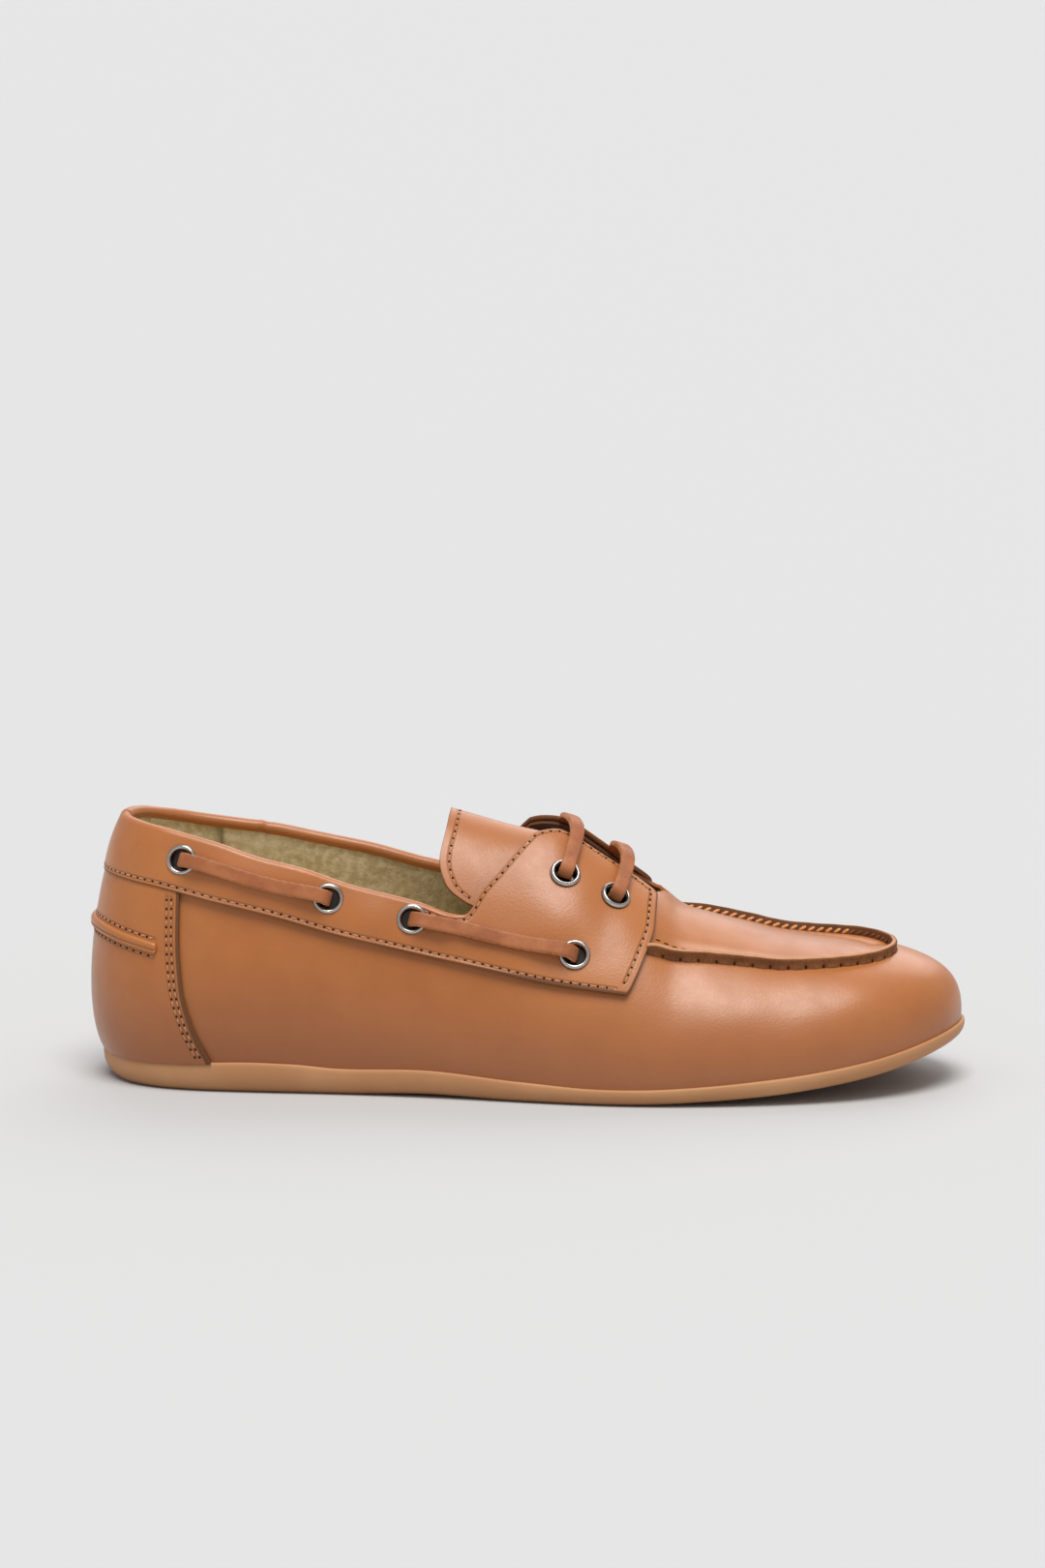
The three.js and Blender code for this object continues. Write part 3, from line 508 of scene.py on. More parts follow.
def crossing(low, high, past, steps=22):
    """Halves the way between low and high down to the place where past turns true."""
    for _ in range(steps):
        mid = (low + high) / 2
        beyond = past(mid)
        low, high = np.where(beyond, low, mid), np.where(beyond, mid, high)
    return low


def level_where(u, above):
    """The height share v at which a rib passes a line: above tells whether a point is past it."""
    return crossing(np.zeros_like(u), np.ones_like(u), lambda v: above(last(u, v)))


def side_line(rows, x):
    """Height in millimetres of a line that is drawn on the shoe's side."""
    return HEEL_HEIGHT * ease(rows, x / LENGTH)


def level_on_line(u, rows, rise=0):
    """The height share v of such a line, or of one a distance above it."""
    return level_where(u, lambda point: point[..., 2] > side_line(rows, point[..., 0]) + rise)


def top_level(u):
    """The height share of the opening's edge: the collar, the facings' rear edges and the throat."""
    u = np.asarray(u, float)
    side = side_of(u)

    def for_side(tables, at):
        return np.where(side < 0, ease(tables[-1], at), ease(tables[1], at))

    def above(point):
        return point[..., 2] > HEEL_HEIGHT * for_side(opening, point[..., 0] / LENGTH)

    def in_throat(point):
        ridge = section(u)[..., 3] * BALL_WIDTH
        half = THROAT_WIDTH * for_side(THROAT, point[..., 0] / LENGTH)
        return (np.abs(point[..., 1] - ridge) < half) & (point[..., 0] > THROAT_BACK)

    opening = {key: COLLAR[key] + FACING_BACK[key] + PAST_THROAT for key in COLLAR}
    x = station(u)
    throat = np.where(x > THROAT_BACK, level_where(u, in_throat), 1)
    return np.where(x > THROAT_TIP, 1.0, np.minimum(level_where(u, above), throat))


# Soft dents and swells of the leather: x and z from the side, side, reach along x and z,
# how far the leather stands out or sinks, all in millimetres.
DENTS = [
    (46, 61, -1, 12, 5, 0.35), (60, 55, -1, 6, 4, -0.35), (84, 50, -1, 6, 5, 0.4),
    (108, 47, -1, 4, 6, 0.7), (103, 44, -1, 3, 6, -0.5), (120, 42, -1, 8, 5, 0.3),
    (133, 40, -1, 5, 5, -0.35), (150, 45, -1, 4, 8, -0.3), (60, 34, -1, 26, 10, 0.35),
    (95, 26, -1, 22, 9, -0.3), (128, 24, -1, 14, 9, 0.3), (172, 26, -1, 9, 9, -0.1),
    (186, 25, -1, 9, 8, 0.25), (201, 27, -1, 8, 8, -0.25), (222, 25, -1, 8, 9, 0.2),
    (34, 30, -1, 6, 16, -0.25), (50, 62, 1, 10, 5, 0.3), (70, 57, 1, 6, 4, -0.3),
    (96, 52, 1, 6, 5, 0.35), (112, 48, 1, 4, 6, 0.6), (70, 32, 1, 24, 10, 0.3),
    (110, 26, 1, 20, 9, -0.3), (180, 28, 1, 10, 9, -0.3), (196, 27, 1, 8, 8, 0.35),
]
# The apron from above: the plug lies a little below the seam round it.
APRON = [(0.6, -0.325), (0.69, -0.276), (0.78, -0.245), (0.85, -0.2), (0.89, -0.135), (0.91, -0.04)]
APRON += [(0.909, 0.055), (0.888, 0.15), (0.85, 0.215), (0.79, 0.235), (0.69, 0.212), (0.6, 0.235)]
PLUG_SINK, PLUG_SLOPE = 1.4, 6  # how deep, and over what width it gets there


def lengths(path):
    """How far along a path each of its points lies."""
    return np.r_[0, np.cumsum(np.linalg.norm(np.diff(path, axis=0), axis=1))]


def smooth_path(points, count):
    """An even walk along a smooth line through points."""
    points = np.asarray(points, float)
    ends = np.vstack([2 * points[0] - points[1], points, 2 * points[-1] - points[-2]])
    t = np.linspace(0, len(points) - 1, 30 * len(points))
    i = np.minimum(t.astype(int), len(points) - 2)
    f = (t - i)[:, None]
    a, b, c, d = (ends[i + k] for k in range(4))
    walk = 0.5 * (2 * b + (c - a) * f + (2 * a - 5 * b + 4 * c - d) * f**2 + (3 * b - a - 3 * c + d) * f**3)
    gap = lengths(walk)
    return between(np.linspace(0, gap[-1], count), gap, walk)


seam_plan = smooth_path([(at * LENGTH, across * BALL_WIDTH) for at, across in APRON], 600)
seam_tip = seam_plan[:, 0].argmax()


def soft_step(value):
    value = np.clip(value, 0, 1)
    return value * value * (3 - 2 * value)


def plug_sink(point):
    """How far the plug lies below the vamp, from nothing at the seam to its full depth inside it."""
    x, y = point[..., 0], point[..., 1]
    lateral = np.interp(x, seam_plan[: seam_tip + 1, 0], seam_plan[: seam_tip + 1, 1])
    medial = np.interp(x, seam_plan[:seam_tip:-1, 0], seam_plan[:seam_tip:-1, 1])
    within = np.minimum(np.minimum(y - lateral, medial - y), seam_plan[seam_tip, 0] - x)
    return PLUG_SINK * soft_step(within / PLUG_SLOPE) * soft_step((x - THROAT_TIP) / (0.035 * LENGTH))


EYELETS = {
    "heel": (0.113, 0.86), "ankle": (0.279, 0.728), "quarter": (0.374, 0.655), "vamp": (0.558, 0.54),
    "facing_rear": (0.544, 0.81), "facing_front": (0.6, 0.724),
}
PUCKER, PUCKER_REACH = -0.6, (6.5, 6.5)  # the leather is pulled in round each eyelet


def swell(u, v):
    """How far the leather stands off the last at a point."""
    point = last(u, v)
    side = np.where(point[..., 1] < 0, -1, 1)
    total = -plug_sink(point)
    puckers = [(at * LENGTH, up * HEEL_HEIGHT, 0, *PUCKER_REACH, PUCKER) for at, up in EYELETS.values()]
    for x, z, at_side, reach_x, reach_z, height in DENTS + puckers:
        far = ((point[..., 0] - x) / reach_x) ** 2 + ((point[..., 2] - z) / reach_z) ** 2
        total = total + np.where((side == at_side) | (at_side == 0), height * np.exp(-far), 0)
    return total


def nearest(place, *paths):
    """Distance in millimetres from each point to the nearest of the stitch rows."""
    far = np.full(len(place), 50.0)
    for path in paths:
        for begin in range(0, len(place), 20000):
            part = slice(begin, begin + 20000)
            gap = np.sqrt(((place[part, None, :] - path[None, :, :]) ** 2).sum(-1)).min(1)
            far[part] = np.minimum(far[part], gap)
    return far


# Along the band's lower edge and the counter's front edges this brown also stands for painted shade.
CUT_BROWN = (0.115, 0.043, 0.014)  # the flesh side and the cut edges of the leather


def leather(name, tint=0.0, stitched=False):
    """Tan leather: a warm brown, darker and greyer towards the sole as painted shade and a painted
    reflection of the grey floor, fine grain, pores and soft creases.
    """
    tan = Finish(name)
    patches, mottle = tan.noise(16, 3, 0.55), tan.noise(90, 5, 0.65)
    grain, pores = tan.pebbles(1300), tan.noise(2600, 2)
    creases = tan.noise(30, 2, 0.5, (0.6, 1, 1.4))
    colour = tan.blend(patches.fade(0.3, 0.72), (0.42, 0.132, 0.027), (0.505, 0.176, 0.046))
    colour = tan.blend(mottle.fade(0.35, 0.75, 0.0, 0.35), colour, (0.36, 0.103, 0.020))
    # Towards the sole the colour goes darker and greyer: painted shade, and a painted reflection of the
    # grey floor.
    low = tan.metres("Z").fade(0.006, 0.042, 0.65, 0.0)
    colour = tan.blend(low, colour, (0.30, 0.104, 0.041))
    colour = tan.blend(tint, colour, (0.52, 0.215, 0.090))
    relief = tan.relief(0.25, creases)
    relief = tan.relief(0.024, grain + pores * 0.6, relief)
    rough = mottle.fade(0.3, 0.7, 0.30, 0.42)
    if stitched:
        far = tan.mark("stitch_mm")
        relief = tan.relief(0.25, far.fade(0.15, 0.9), relief)
        # Along the stitch rows the leather is darkened: painted shade in the stitch groove.
        colour = tan.blend(far.fade(0.2, 1.0, 0.3, 0.0), colour, (0.20, 0.06, 0.018))
        # A brown band along the cut edges: the cut edge's own colour, and along the band's lower edge and
        # the counter's front edges also painted shade.
        bare = tan.mark("edge_mm").fade(0.25, 0.7, 0.9, 0.0)
    else:
        bare = tan.mark("inside")
    return tan.finish(
        colour=tan.blend(bare, colour, CUT_BROWN),
        rough=rough + (0.85 - rough) * bare,
        gloss=0.45,
        coat=(1 - bare) * 0.2,
        coat_rough=0.3,
        normal=relief,
    )


upper_material = leather("tan_leather")


BELOW_EDGE = 0.985  # the upper and its lining end a little below the band's fold


def upper_place(s, t):
    u = s * ROUND
    return u, t * top_level(u) * np.where(station(u) > THROAT_TIP, 1, BELOW_EDGE)


def upper_skin(s, t):
    u, v = upper_place(s, t)
    return over(u, v, swell(u, v))


FACING_AT = 108.0  # where the collar ends and the facings begin


def upper_marks(s, t, place):
    """The cut edge along the throat, between the facings' start and the apron."""
    x = place[:, 0]
    facing = soft_step((x - FACING_AT) / 3) * soft_step((0.645 * LENGTH - x) / 3)
    return {"inside": soft_step((t - 0.97) / 0.02) * facing}


def punched(piece):
    """Cuts the eyelets' holes through a sheet, under their flanges."""
    mesh = piece.data
    middles = np.empty(len(mesh.polygons) * 3)
    mesh.polygons.foreach_get("center", middles)
    middles = middles.reshape(-1, 3) * 1000 + MIDDLE
    cut = np.zeros(len(middles), bool)
    for label, side in EYELET_AT:
        centre, _, _, out = eyelet_frame(label, side)
        reach = middles - centre
        along = reach @ out
        aside = np.linalg.norm(reach - along[:, None] * out, axis=1)
        cut |= (aside < PUNCH) & (np.abs(along) < 8)
    select_only(piece)
    bpy.ops.object.mode_set(mode="EDIT")
    bpy.ops.mesh.select_mode(type="FACE")
    bpy.ops.mesh.select_all(action="DESELECT")
    bpy.ops.object.mode_set(mode="OBJECT")
    mesh.polygons.foreach_set("select", cut)
    bpy.ops.object.mode_set(mode="EDIT")
    bpy.ops.mesh.delete(type="FACE")
    bpy.ops.object.mode_set(mode="OBJECT")


CLEARANCE, BAND_WALL = 0.3, 1.6
SIDES = {-1: "lateral", 1: "medial"}
PUNCH = 3.3  # radius of the holes under the eyelets' flanges


def eyelet_place(side, x, z):
    """The place u, v of an eyelet that is seen at x, z from the side."""

    def at_height(at):
        u = on_side(side, at)
        return u, level_where(u, lambda point: point[..., 2] > z)

    at = crossing(np.zeros(1), np.full(1, ROUND / 2), lambda at: last(*at_height(at))[:, 0] >= x, 30)
    return at_height(at)


EYELET_AT = {
    (label, side): eyelet_place(side, at * LENGTH, up * HEEL_HEIGHT)
    for side in SIDES
    for label, (at, up) in EYELETS.items()
}


def eyelet_frame(label, side):
    """Middle of an eyelet on the band's face, and its three axes: along the shoe, up it, and outward."""
    u, v = EYELET_AT[label, side]
    out = outward(u, v)[0]
    middle = over(u, v, CLEARANCE + BAND_WALL + 0 * u)[0]
    along = unit(np.array([1.0, 0, 0]) - out * out[0])
    return middle, along, np.cross(out, along), out


skin = wrapped("upper_leather", 560, 76, upper_skin, closed=True, marks=upper_marks)
punched(skin)
dressed(skin, upper_material, ["upper"], wall=LEATHER)

LINING_OUT = 0.6  # how far the lining moves out under the band's fold
LINING_SEAM = 35  # from the heel, where the lining is joined on the far side


def lining_skin(s, t):
    u, v = upper_place(s, t)
    return over(u, v, 0.1 - UPPER_WALL + LINING_OUT * soft_step((t - 0.9) / 0.08) + swell(u, v) * 0.4)


def lining_marks(s, t, place):
    x, y = place[:, 0], place[:, 1]
    seam = np.where(y > 0, soft_step(1.2 - np.abs(x - LINING_SEAM)), 0)
    return {"facing": soft_step((x - FACING_AT - 2) / 5), "seam_line": seam}


lining = wrapped("upper_lining", 420, 50, lining_skin, closed=True, marks=lining_marks, turned_over=True)
dressed(lining, napped_material)

# Collar band: one strip of the same leather round the collar, in one piece with both lacing facings. Its
# top is folded over the collar's edge and down inside; its lower and front edges are cut and stitched.
BAND_EDGE = [(-0.08, 0.78), (0.02, 0.78), (0.07, 0.767), (0.155, 0.708), (0.223, 0.658), (0.291, 0.597)]
BAND_EDGE += [(0.36, 0.548), (0.428, 0.503), (0.519, 0.446), (0.615, 0.402)]
FACING_FRONT = {  # up, at
    -1: [(0.402, 0.617), (0.43, 0.622), (0.52, 0.634), (0.62, 0.643), (0.74, 0.643)],
    1: [(0.402, 0.617), (0.43, 0.621), (0.52, 0.632), (0.62, 0.636), (0.74, 0.632)],
}
COLLAR_FOLD, FACING_FOLD = 1.85, 0.8  # half the thickness of the folded collar and of the cut facing
CORNER = 5.0  # rounding of the facing's upper front corner
FOLD_INSIDE = 1.0  # how far the fold comes down inside
COLLAR_JOIN = 47.0  # from the heel, where the far edge of the collar is joined
LOW_INSET, FRONT_INSET, TOP_INSET = 1.3, 2.3, 1.5  # of the stitches from the edges
MOST = 0.76  # share of the sheet's rows that lie outside
ROLL = 0.14  # share of the rows in the fold

dense_u = np.linspace(0, ROUND / 2, 1501)
dense_x = station(dense_u)


def round_at(side, x):
    """The place round the loop, on one side, whose section stands at x."""
    return on_side(side, np.interp(x, dense_x, dense_u))


def band_low(u):
    return level_on_line(u, BAND_EDGE)


def rib_rate(u, v):
    """Millimetres along the last for a step of one in v."""
    return np.linalg.norm(last(u, v + 0.005) - last(u, v - 0.005), axis=-1) / 0.01


def fold_radius(x):
    return COLLAR_FOLD + (FACING_FOLD - COLLAR_FOLD) * soft_step((x - FACING_AT + 4) / 8)


FRONT = 0.615 * LENGTH  # about where the facing's front edge stands
BAND_LENGTH, BAND_HEIGHT = 158, 25  # along the band from the heel's middle to there, and across it
LEAN_FROM = 0.72  # share of that length from which its cross lines lean with the front edge


def edges_of(u):
    """The height shares of the band's lower edge and of the start of its fold."""
    top = top_level(u)
    radius = fold_radius(station(u))
    return band_low(u), top - radius / rib_rate(u, np.clip(top, 0.01, 0.99))


def front_line(side):
    """Where the facing's front edge lies along the shoe, for shares of its height."""
    p = np.linspace(0, 1, 81)
    x = np.full_like(p, FRONT + CORNER)
    for _ in range(6):
        u = round_at(side, x)
        bottom, top = edges_of(u)
        v = bottom + (top - bottom) * p
        x = LENGTH * ease(FACING_FRONT[side], last(u, v)[:, 2] / HEEL_HEIGHT)
    height = (top - bottom)[-1] * rib_rate(u, v)[-1]
    turn = np.clip((p * height - height + CORNER) / CORNER, 0, 1)
    return p, x - CORNER * (1 - np.sqrt(1 - turn**2))


front_lines = {side: front_line(side) for side in SIDES}
front_u = np.interp(FRONT, dense_x, dense_u)


def band_place(side, s, p):
    """s from the heel's middle to the facing's front edge, p from the lower edge to the fold."""
    x = np.interp(s * front_u, dense_u, dense_x)
    lean = np.clip((s - LEAN_FROM) / (1 - LEAN_FROM), 0, 1) ** 2
    u = round_at(side, x + lean * (np.interp(p, *front_lines[side]) - FRONT))
    bottom, top = edges_of(u)
    return u, bottom + (top - bottom) * p


def padding(s, p):
    """The band's collar part is a little padded between its edges."""
    return 0.4 * np.sin(np.pi * p) * np.clip((0.8 - s) * 5, 0, 1)


def band_skin(side):
    def wrap(s, t):
        p = np.clip(t / MOST, 0, 1)
        u, v = band_place(side, s, p)
        x = station(u)
        radius = fold_radius(x)[:, None]
        out, rise = outward(u, v), unit(last(u, np.minimum(1, v + 0.01)) - last(u, v - 0.01))
        turn = np.clip((t - MOST) / ROLL, 0, 1)[:, None] * np.pi
        middle = over(u, v, CLEARANCE + BAND_WALL + swell(u, v) + padding(s, p)) - radius * out
        fold = middle + radius * (np.cos(turn) * out + np.sin(turn) * rise)
        if side > 0:
            away = x - COLLAR_JOIN
            lap = 0.35 * np.exp(-((away / 1.1) ** 2)) - 0.25 * np.exp(-(((away - 2.2) / 1.2) ** 2))
            fold += out * lap[:, None]
        down = np.clip((t - MOST - ROLL) / (1 - MOST - ROLL), 0, 1)
        return fold - rise * (down * FOLD_INSIDE)[:, None]

    return wrap


def row_inside(side, s, p, inset):
    """A row of stitches at a distance inside a border of the band: places and facings."""
    u, v = band_place(side, s, p)
    out = outward(u, v)
    puff = padding(s, np.clip(p + 0.06, 0, 0.5)) * (p < 0.5)
    place = over(u, v, CLEARANCE + BAND_WALL + swell(u, v) + puff * 0.4 + 0.02)
    inward = unit(np.cross(out, np.gradient(place, axis=0)) * -side)
    return place + inward * np.asarray(inset)[:, None], out


def stitch_rows(side):
    """One row along the lower edge, and one up the front edge and back along throat and facing."""
    low_s = np.linspace(0, 0.997 - FRONT_INSET / BAND_LENGTH, 260)
    lower = row_inside(side, low_s, 0 * low_s, LOW_INSET + 0 * low_s)
    rising, back = 60, 119  # points up the front edge, and back along the throat
    p = np.r_[np.linspace(0.055, 1, rising), np.ones(back)]
    border = np.r_[np.ones(rising), np.linspace(0.999, 0.695, back)]
    turn = soft_step((np.arange(rising + back) - rising + 12) / 26)
    inset = FRONT_INSET + (TOP_INSET - FACING_FOLD - FRONT_INSET) * turn
    row, facing = row_inside(side, border, p, inset)
    clear = nearest(row, row_inside(side, border, p, 0 * inset)[0]) > 0.93 * inset  # at the corner
    return [lower, (row[clear], facing[clear])]


band_rows = {side: stitch_rows(side) for side in SIDES}


def band_marks(side):
    def marks(s, t, place):
        cut = np.minimum(t / MOST * BAND_HEIGHT, (1 - s) * BAND_LENGTH + 0.22)
        throat = soft_step((place[:, 0] - FACING_AT) / 3)
        rim = 50 - 49.8 * throat * soft_step((t - MOST - 0.12 * ROLL) / (0.15 * ROLL))
        far = nearest(place, *[row[0] for row in band_rows[side]])
        return {"stitch_mm": far, "edge_mm": np.minimum(cut, rim)}

    return marks


band_material = leather("tan_band_leather", tint=0.07, stitched=True)
for side, label in SIDES.items():
    band = wrapped("collar_band_" + label, 420, 84, band_skin(side), marks=band_marks(side))
    punched(band)
    if side > 0:
        rework(band, bpy.ops.mesh.flip_normals)
    dressed(band, band_material, ["collar_band"], wall=1.1, bevel=0.3)

# Stitches: waxed thread, pale where it crosses the leather and sunk at both ends, with a dark spot of
# painted shade for the awl hole between each two. One stitch is modelled and copied along each row.
bpy.ops.object.select_all(action="DESELECT")
bpy.ops.mesh.primitive_uv_sphere_add(segments=7, ring_count=5, radius=1)
stitch = bpy.context.object
stitch_points = np.array([vertex.co[:] for vertex in stitch.data.vertices])
stitch_faces = [tuple(face.vertices) for face in stitch.data.polygons]
bpy.ops.object.delete()


def sew(name, rows, pitch, size, material, slant=0.0, start=0.5):
    """Copies the stitch along rows of places and facings: size is its length, width and height."""
    points, faces = [], []
    for place, facing in rows:
        gap = lengths(place)
        at = np.arange(pitch * start, gap[-1], pitch)
        normals = between(at, gap, facing)
        along = unit(between(at + 0.3, gap, place) - between(at - 0.3, gap, place))
        along = along * math.cos(slant) + np.cross(normals, along) * math.sin(slant)
        axes = np.stack([along, np.cross(normals, along), normals], 1)
        for point, turned in zip(between(at, gap, place), axes):
            base = len(points) * len(stitch_points)
            points.append(point + stitch_points * np.array(size) / 2 @ turned)
            faces += [tuple(index + base for index in face) for face in stitch_faces]
    mesh = bpy.data.meshes.new(name)
    mesh.from_pydata(((np.vstack(points) - MIDDLE) / 1000).tolist(), [], faces)
    piece = bpy.data.objects.new(name, mesh)
    scene.collection.objects.link(piece)
    dressed(piece, material)


def twisted(name, strands_per_metre, dark, pale, rough, relief_mm=0, **sockets):
    """Thread, or the painted shade of an awl hole, in two tones."""
    yarn = Finish(name)
    strands = yarn.noise(strands_per_metre)
    if relief_mm:
        sockets["normal"] = yarn.relief(relief_mm, strands)
    return yarn.finish(colour=yarn.blend(strands.fade(0.3, 0.7), dark, pale), rough=rough, **sockets)


thread_material = twisted("waxed_thread", 1800, (0.42, 0.17, 0.065), (0.66, 0.34, 0.16), 0.6, 0.1)
hole_shade_material = twisted("awl_hole_shade", 900, (0.03, 0.01, 0.004), (0.06, 0.02, 0.008), 0.9, gloss=0.1)
PITCH = 2.6  # from one stitch to the next


def stitched(name, rows):
    """Sews the thread and the painted shade of the awl holes of some rows."""
    sew(name + "_thread", rows, PITCH, (0.66 * PITCH, 0.5, 0.42), thread_material)
    sew(name + "_holes", rows, PITCH, (0.8, 0.75, 0.3), hole_shade_material, start=0.0)


stitched("band", band_rows[-1] + band_rows[1])

# Heel counter: a leather panel sewn over the back of the quarters, with a cut front edge and two rows of
# stitches behind it. A rolled leather strip is sewn across the back.
# up, at
COUNTER_EDGE = [(-0.05, 0.163), (0.1, 0.145), (0.24, 0.124), (0.4, 0.111), (0.6, 0.107), (0.85, 0.107)]
COUNTER_WALL, COUNTER_LAP = 1.2, 1.0
KICKER_LINE = [(-0.05, 0.588), (0.01, 0.586), (0.05, 0.562), (0.09, 0.533)]
KICKER_WIDTH, KICKER_HEIGHT = 3.3, 1.15
KICKER_END = np.interp(0.088 * LENGTH, dense_x, dense_u)  # how far round it reaches on each side
COUNTER_LENGTH = 120  # round the heel, from one front edge to the other
COUNTER_INSETS, KICKER_INSET = (1.15, 2.5), 0.9  # of the stitches, from the front edge and from the strip


def on_counter(u, v, lift=0):
    return over(u, v, CLEARANCE + COUNTER_WALL + lift + swell(u, v))


def counter_round(side, v, inset):
    """The place round the loop of the counter's front edge, or of a line a distance behind it."""

    def past(at):
        point = last(on_side(side, at), v)
        return point[..., 0] >= LENGTH * ease(COUNTER_EDGE, point[..., 2] / HEEL_HEIGHT) - inset

    return crossing(np.zeros_like(v), np.full_like(v, 3.2), past)


def counter_skin(s, t):
    """Its top runs a little under the band, whose lower edge depends on the place round the heel."""
    side = np.where(s < 0.5, -1, 1)
    v = t * 0.6
    for _ in range(2):
        u = on_side(side, np.abs(2 * s - 1) * counter_round(side, v, -COUNTER_LAP))
        v = t * (band_low(u) + 0.008)
    return on_counter(u, v)


def counter_row(side, inset):
    v = np.linspace(0.03, 0.52, 120)
    u = on_side(side, counter_round(side, v, inset))
    free = v < band_low(u) - 0.012
    return on_counter(u[free], v[free]), outward(u[free], v[free])


def kicker_row(above):
    u = np.linspace(-1, 1, 200) * KICKER_END * 0.97
    v = level_on_line(u % ROUND, KICKER_LINE, above)
    return on_counter(u, v), outward(u, v)


counter_rows = [counter_row(side, inset) for side in SIDES for inset in COUNTER_INSETS]
counter_rows += [kicker_row(share * (KICKER_WIDTH / 2 + KICKER_INSET)) for share in (1, -1)]


def counter_marks(s, t, place):
    far = nearest(place, *[row[0] for row in counter_rows])
    # The brown edge runs 0.7 mm wider at the counter's front edges: cut edge and painted shade.
    return {"stitch_mm": far, "edge_mm": np.minimum(s, 1 - s) * COUNTER_LENGTH - 0.7}


counter_material = leather("tan_counter_leather", stitched=True)
counter = wrapped("heel_counter_panel", 220, 80, counter_skin, marks=counter_marks)
rework(counter, bpy.ops.mesh.normals_make_consistent, inside=False)
dressed(counter, counter_material, ["heel_counter"], wall=1.0, bevel=0.25)


def kicker_skin(s, t):
    u = (2 * s - 1) * KICKER_END
    taper = np.clip((0.5 - np.abs(s - 0.5)) * 160, 0, 1) ** 0.4
    turn = 2 * np.pi * t
    fold = 0.4 * np.exp(-(((np.sin(turn) + 0.35) / 0.16) ** 2))
    rise = KICKER_WIDTH / 2 * np.sin(turn) * taper
    v = level_on_line(u % ROUND, KICKER_LINE, rise)
    stand = KICKER_HEIGHT * (np.clip(0.1 + np.cos(turn), -0.4, 1) - fold * (np.cos(turn) > 0)) * taper
    return on_counter(u, v, 0.2 + stand)


strip = wrapped("heel_strip", 240, 40, kicker_skin, closed=True)
dressed(strip, leather("tan_strip_leather", tint=0.05), ["heel_kicker"])
stitched("counter", counter_rows)

# Apron seam: the edges of the plug and the vamp stand up together and are whip-stitched by hand, so a
# dark cut edge runs round the toe, drawn in a little at each stitch.
SEAM_HEIGHT, SEAM_WIDTH, SEAM_PITCH = 2.6, 1.8, 5.2
SEAM_START, TOE_START = 0.636 * LENGTH, 0.868 * LENGTH  # the toe's stitches are as dark as the edge
NEAR_PLUG = 34  # length of the seam's near end beside which the plug has a row of its own

grid_u, grid_v = np.meshgrid(np.linspace(0, ROUND, 361), np.linspace(0.4, 1, 121))
grid_place = last(grid_u, grid_v)


def under_plan(plan):
    """The places u, v on the last that lie under points seen from above."""
    found = []
    for x, y in plan:
        far = (grid_place[..., 0] - x) ** 2 + (grid_place[..., 1] - y) ** 2
        at = np.unravel_index(far.argmin(), far.shape)
        found.append((grid_u[at], grid_v[at]))
    u, v = np.array(found).T
    for _ in range(8):
        here = last(u, v)[:, :2]
        e = 1e-4
        by_u = (last(u + e, v)[:, :2] - here) / e
        by_v = (last(u, v - e)[:, :2] - here) / -e
        miss = plan - here
        size = by_u[:, 0] * by_v[:, 1] - by_u[:, 1] * by_v[:, 0]
        u = u + (miss[:, 0] * by_v[:, 1] - miss[:, 1] * by_v[:, 0]) / size
        v = np.clip(v + (by_u[:, 0] * miss[:, 1] - by_u[:, 1] * miss[:, 0]) / size, 0.3, 0.9999)
    return u, v


seam_plan = seam_plan[seam_plan[:, 0] > SEAM_START]
seam_way = unit(np.gradient(seam_plan, axis=0))
seam_out = np.column_stack([seam_way[:, 1], -seam_way[:, 0]])
seam_u, seam_v = under_plan(seam_plan + seam_out * SEAM_WIDTH / 2)
seam_base = over(seam_u, seam_v, 0.1 + 0 * seam_u)
seam_up = unit(outward(seam_u, seam_v) + (0, 0, 0.35))
seam_side = np.cross(unit(np.gradient(seam_base, axis=0)), seam_up)
seam_length = lengths(seam_base)
seam_frame = seam_length[:, None], seam_base, seam_side, seam_up
# The ridge's section from its outer base over the top to its inner base: across, up.
SEAM_PROFILE = [(1.7, -0.2), (1.45, 0.12), (1.1, 0.3), (1.0, 0.55), (0.98, 0.86), (0.82, 0.98), (0.5, 1.0)]
SEAM_PROFILE += [(0.2, 0.94), (0.0, 0.97), (-0.4, 1.03), (-0.75, 0.98), (-0.9, 0.8), (-0.95, 0.4)]
SEAM_PROFILE += [(-1.3, -0.3)]


def seam_tall(length):
    """The seam's height: a little more at its near end, and run down where the far facing comes over it."""
    far = seam_length[-1] - length
    near_end = 0.25 * np.exp(-length / 35) - 0.4 * np.exp(-length / 1.5)
    return SEAM_HEIGHT * (1 + near_end - 0.85 * np.exp(-((far / 10) ** 2)))


def seam_skin(s, t):
    """The ridge is drawn in at its foot by each stitch, and a little uneven as hand work is."""
    side, high = along_rows(SEAM_PROFILE, t).T
    length, base, aside, up = (along_rows(table, s) for table in seam_frame)
    length = length[:, 0]
    drawn = np.abs(np.cos(np.pi * length / SEAM_PITCH)) ** 6 * soft_step((0.45 - high) / 0.35)
    height = seam_tall(length) * high * (1 + 0.012 * np.sin(length * 0.8)) - 0.25 * drawn
    width = SEAM_WIDTH / 2 * side * (1 - 0.22 * drawn) + 0.04 * np.sin(length * 1.3)
    return base + aside * width[:, None] + up * height[:, None]


def seam_marks(s, t, place):
    row = t * (len(SEAM_PROFILE) - 1)
    return {"pale": soft_step((1.9 - np.abs(row - 8)) / 0.8), "inner": soft_step((row - 9.5) / 1.5)}


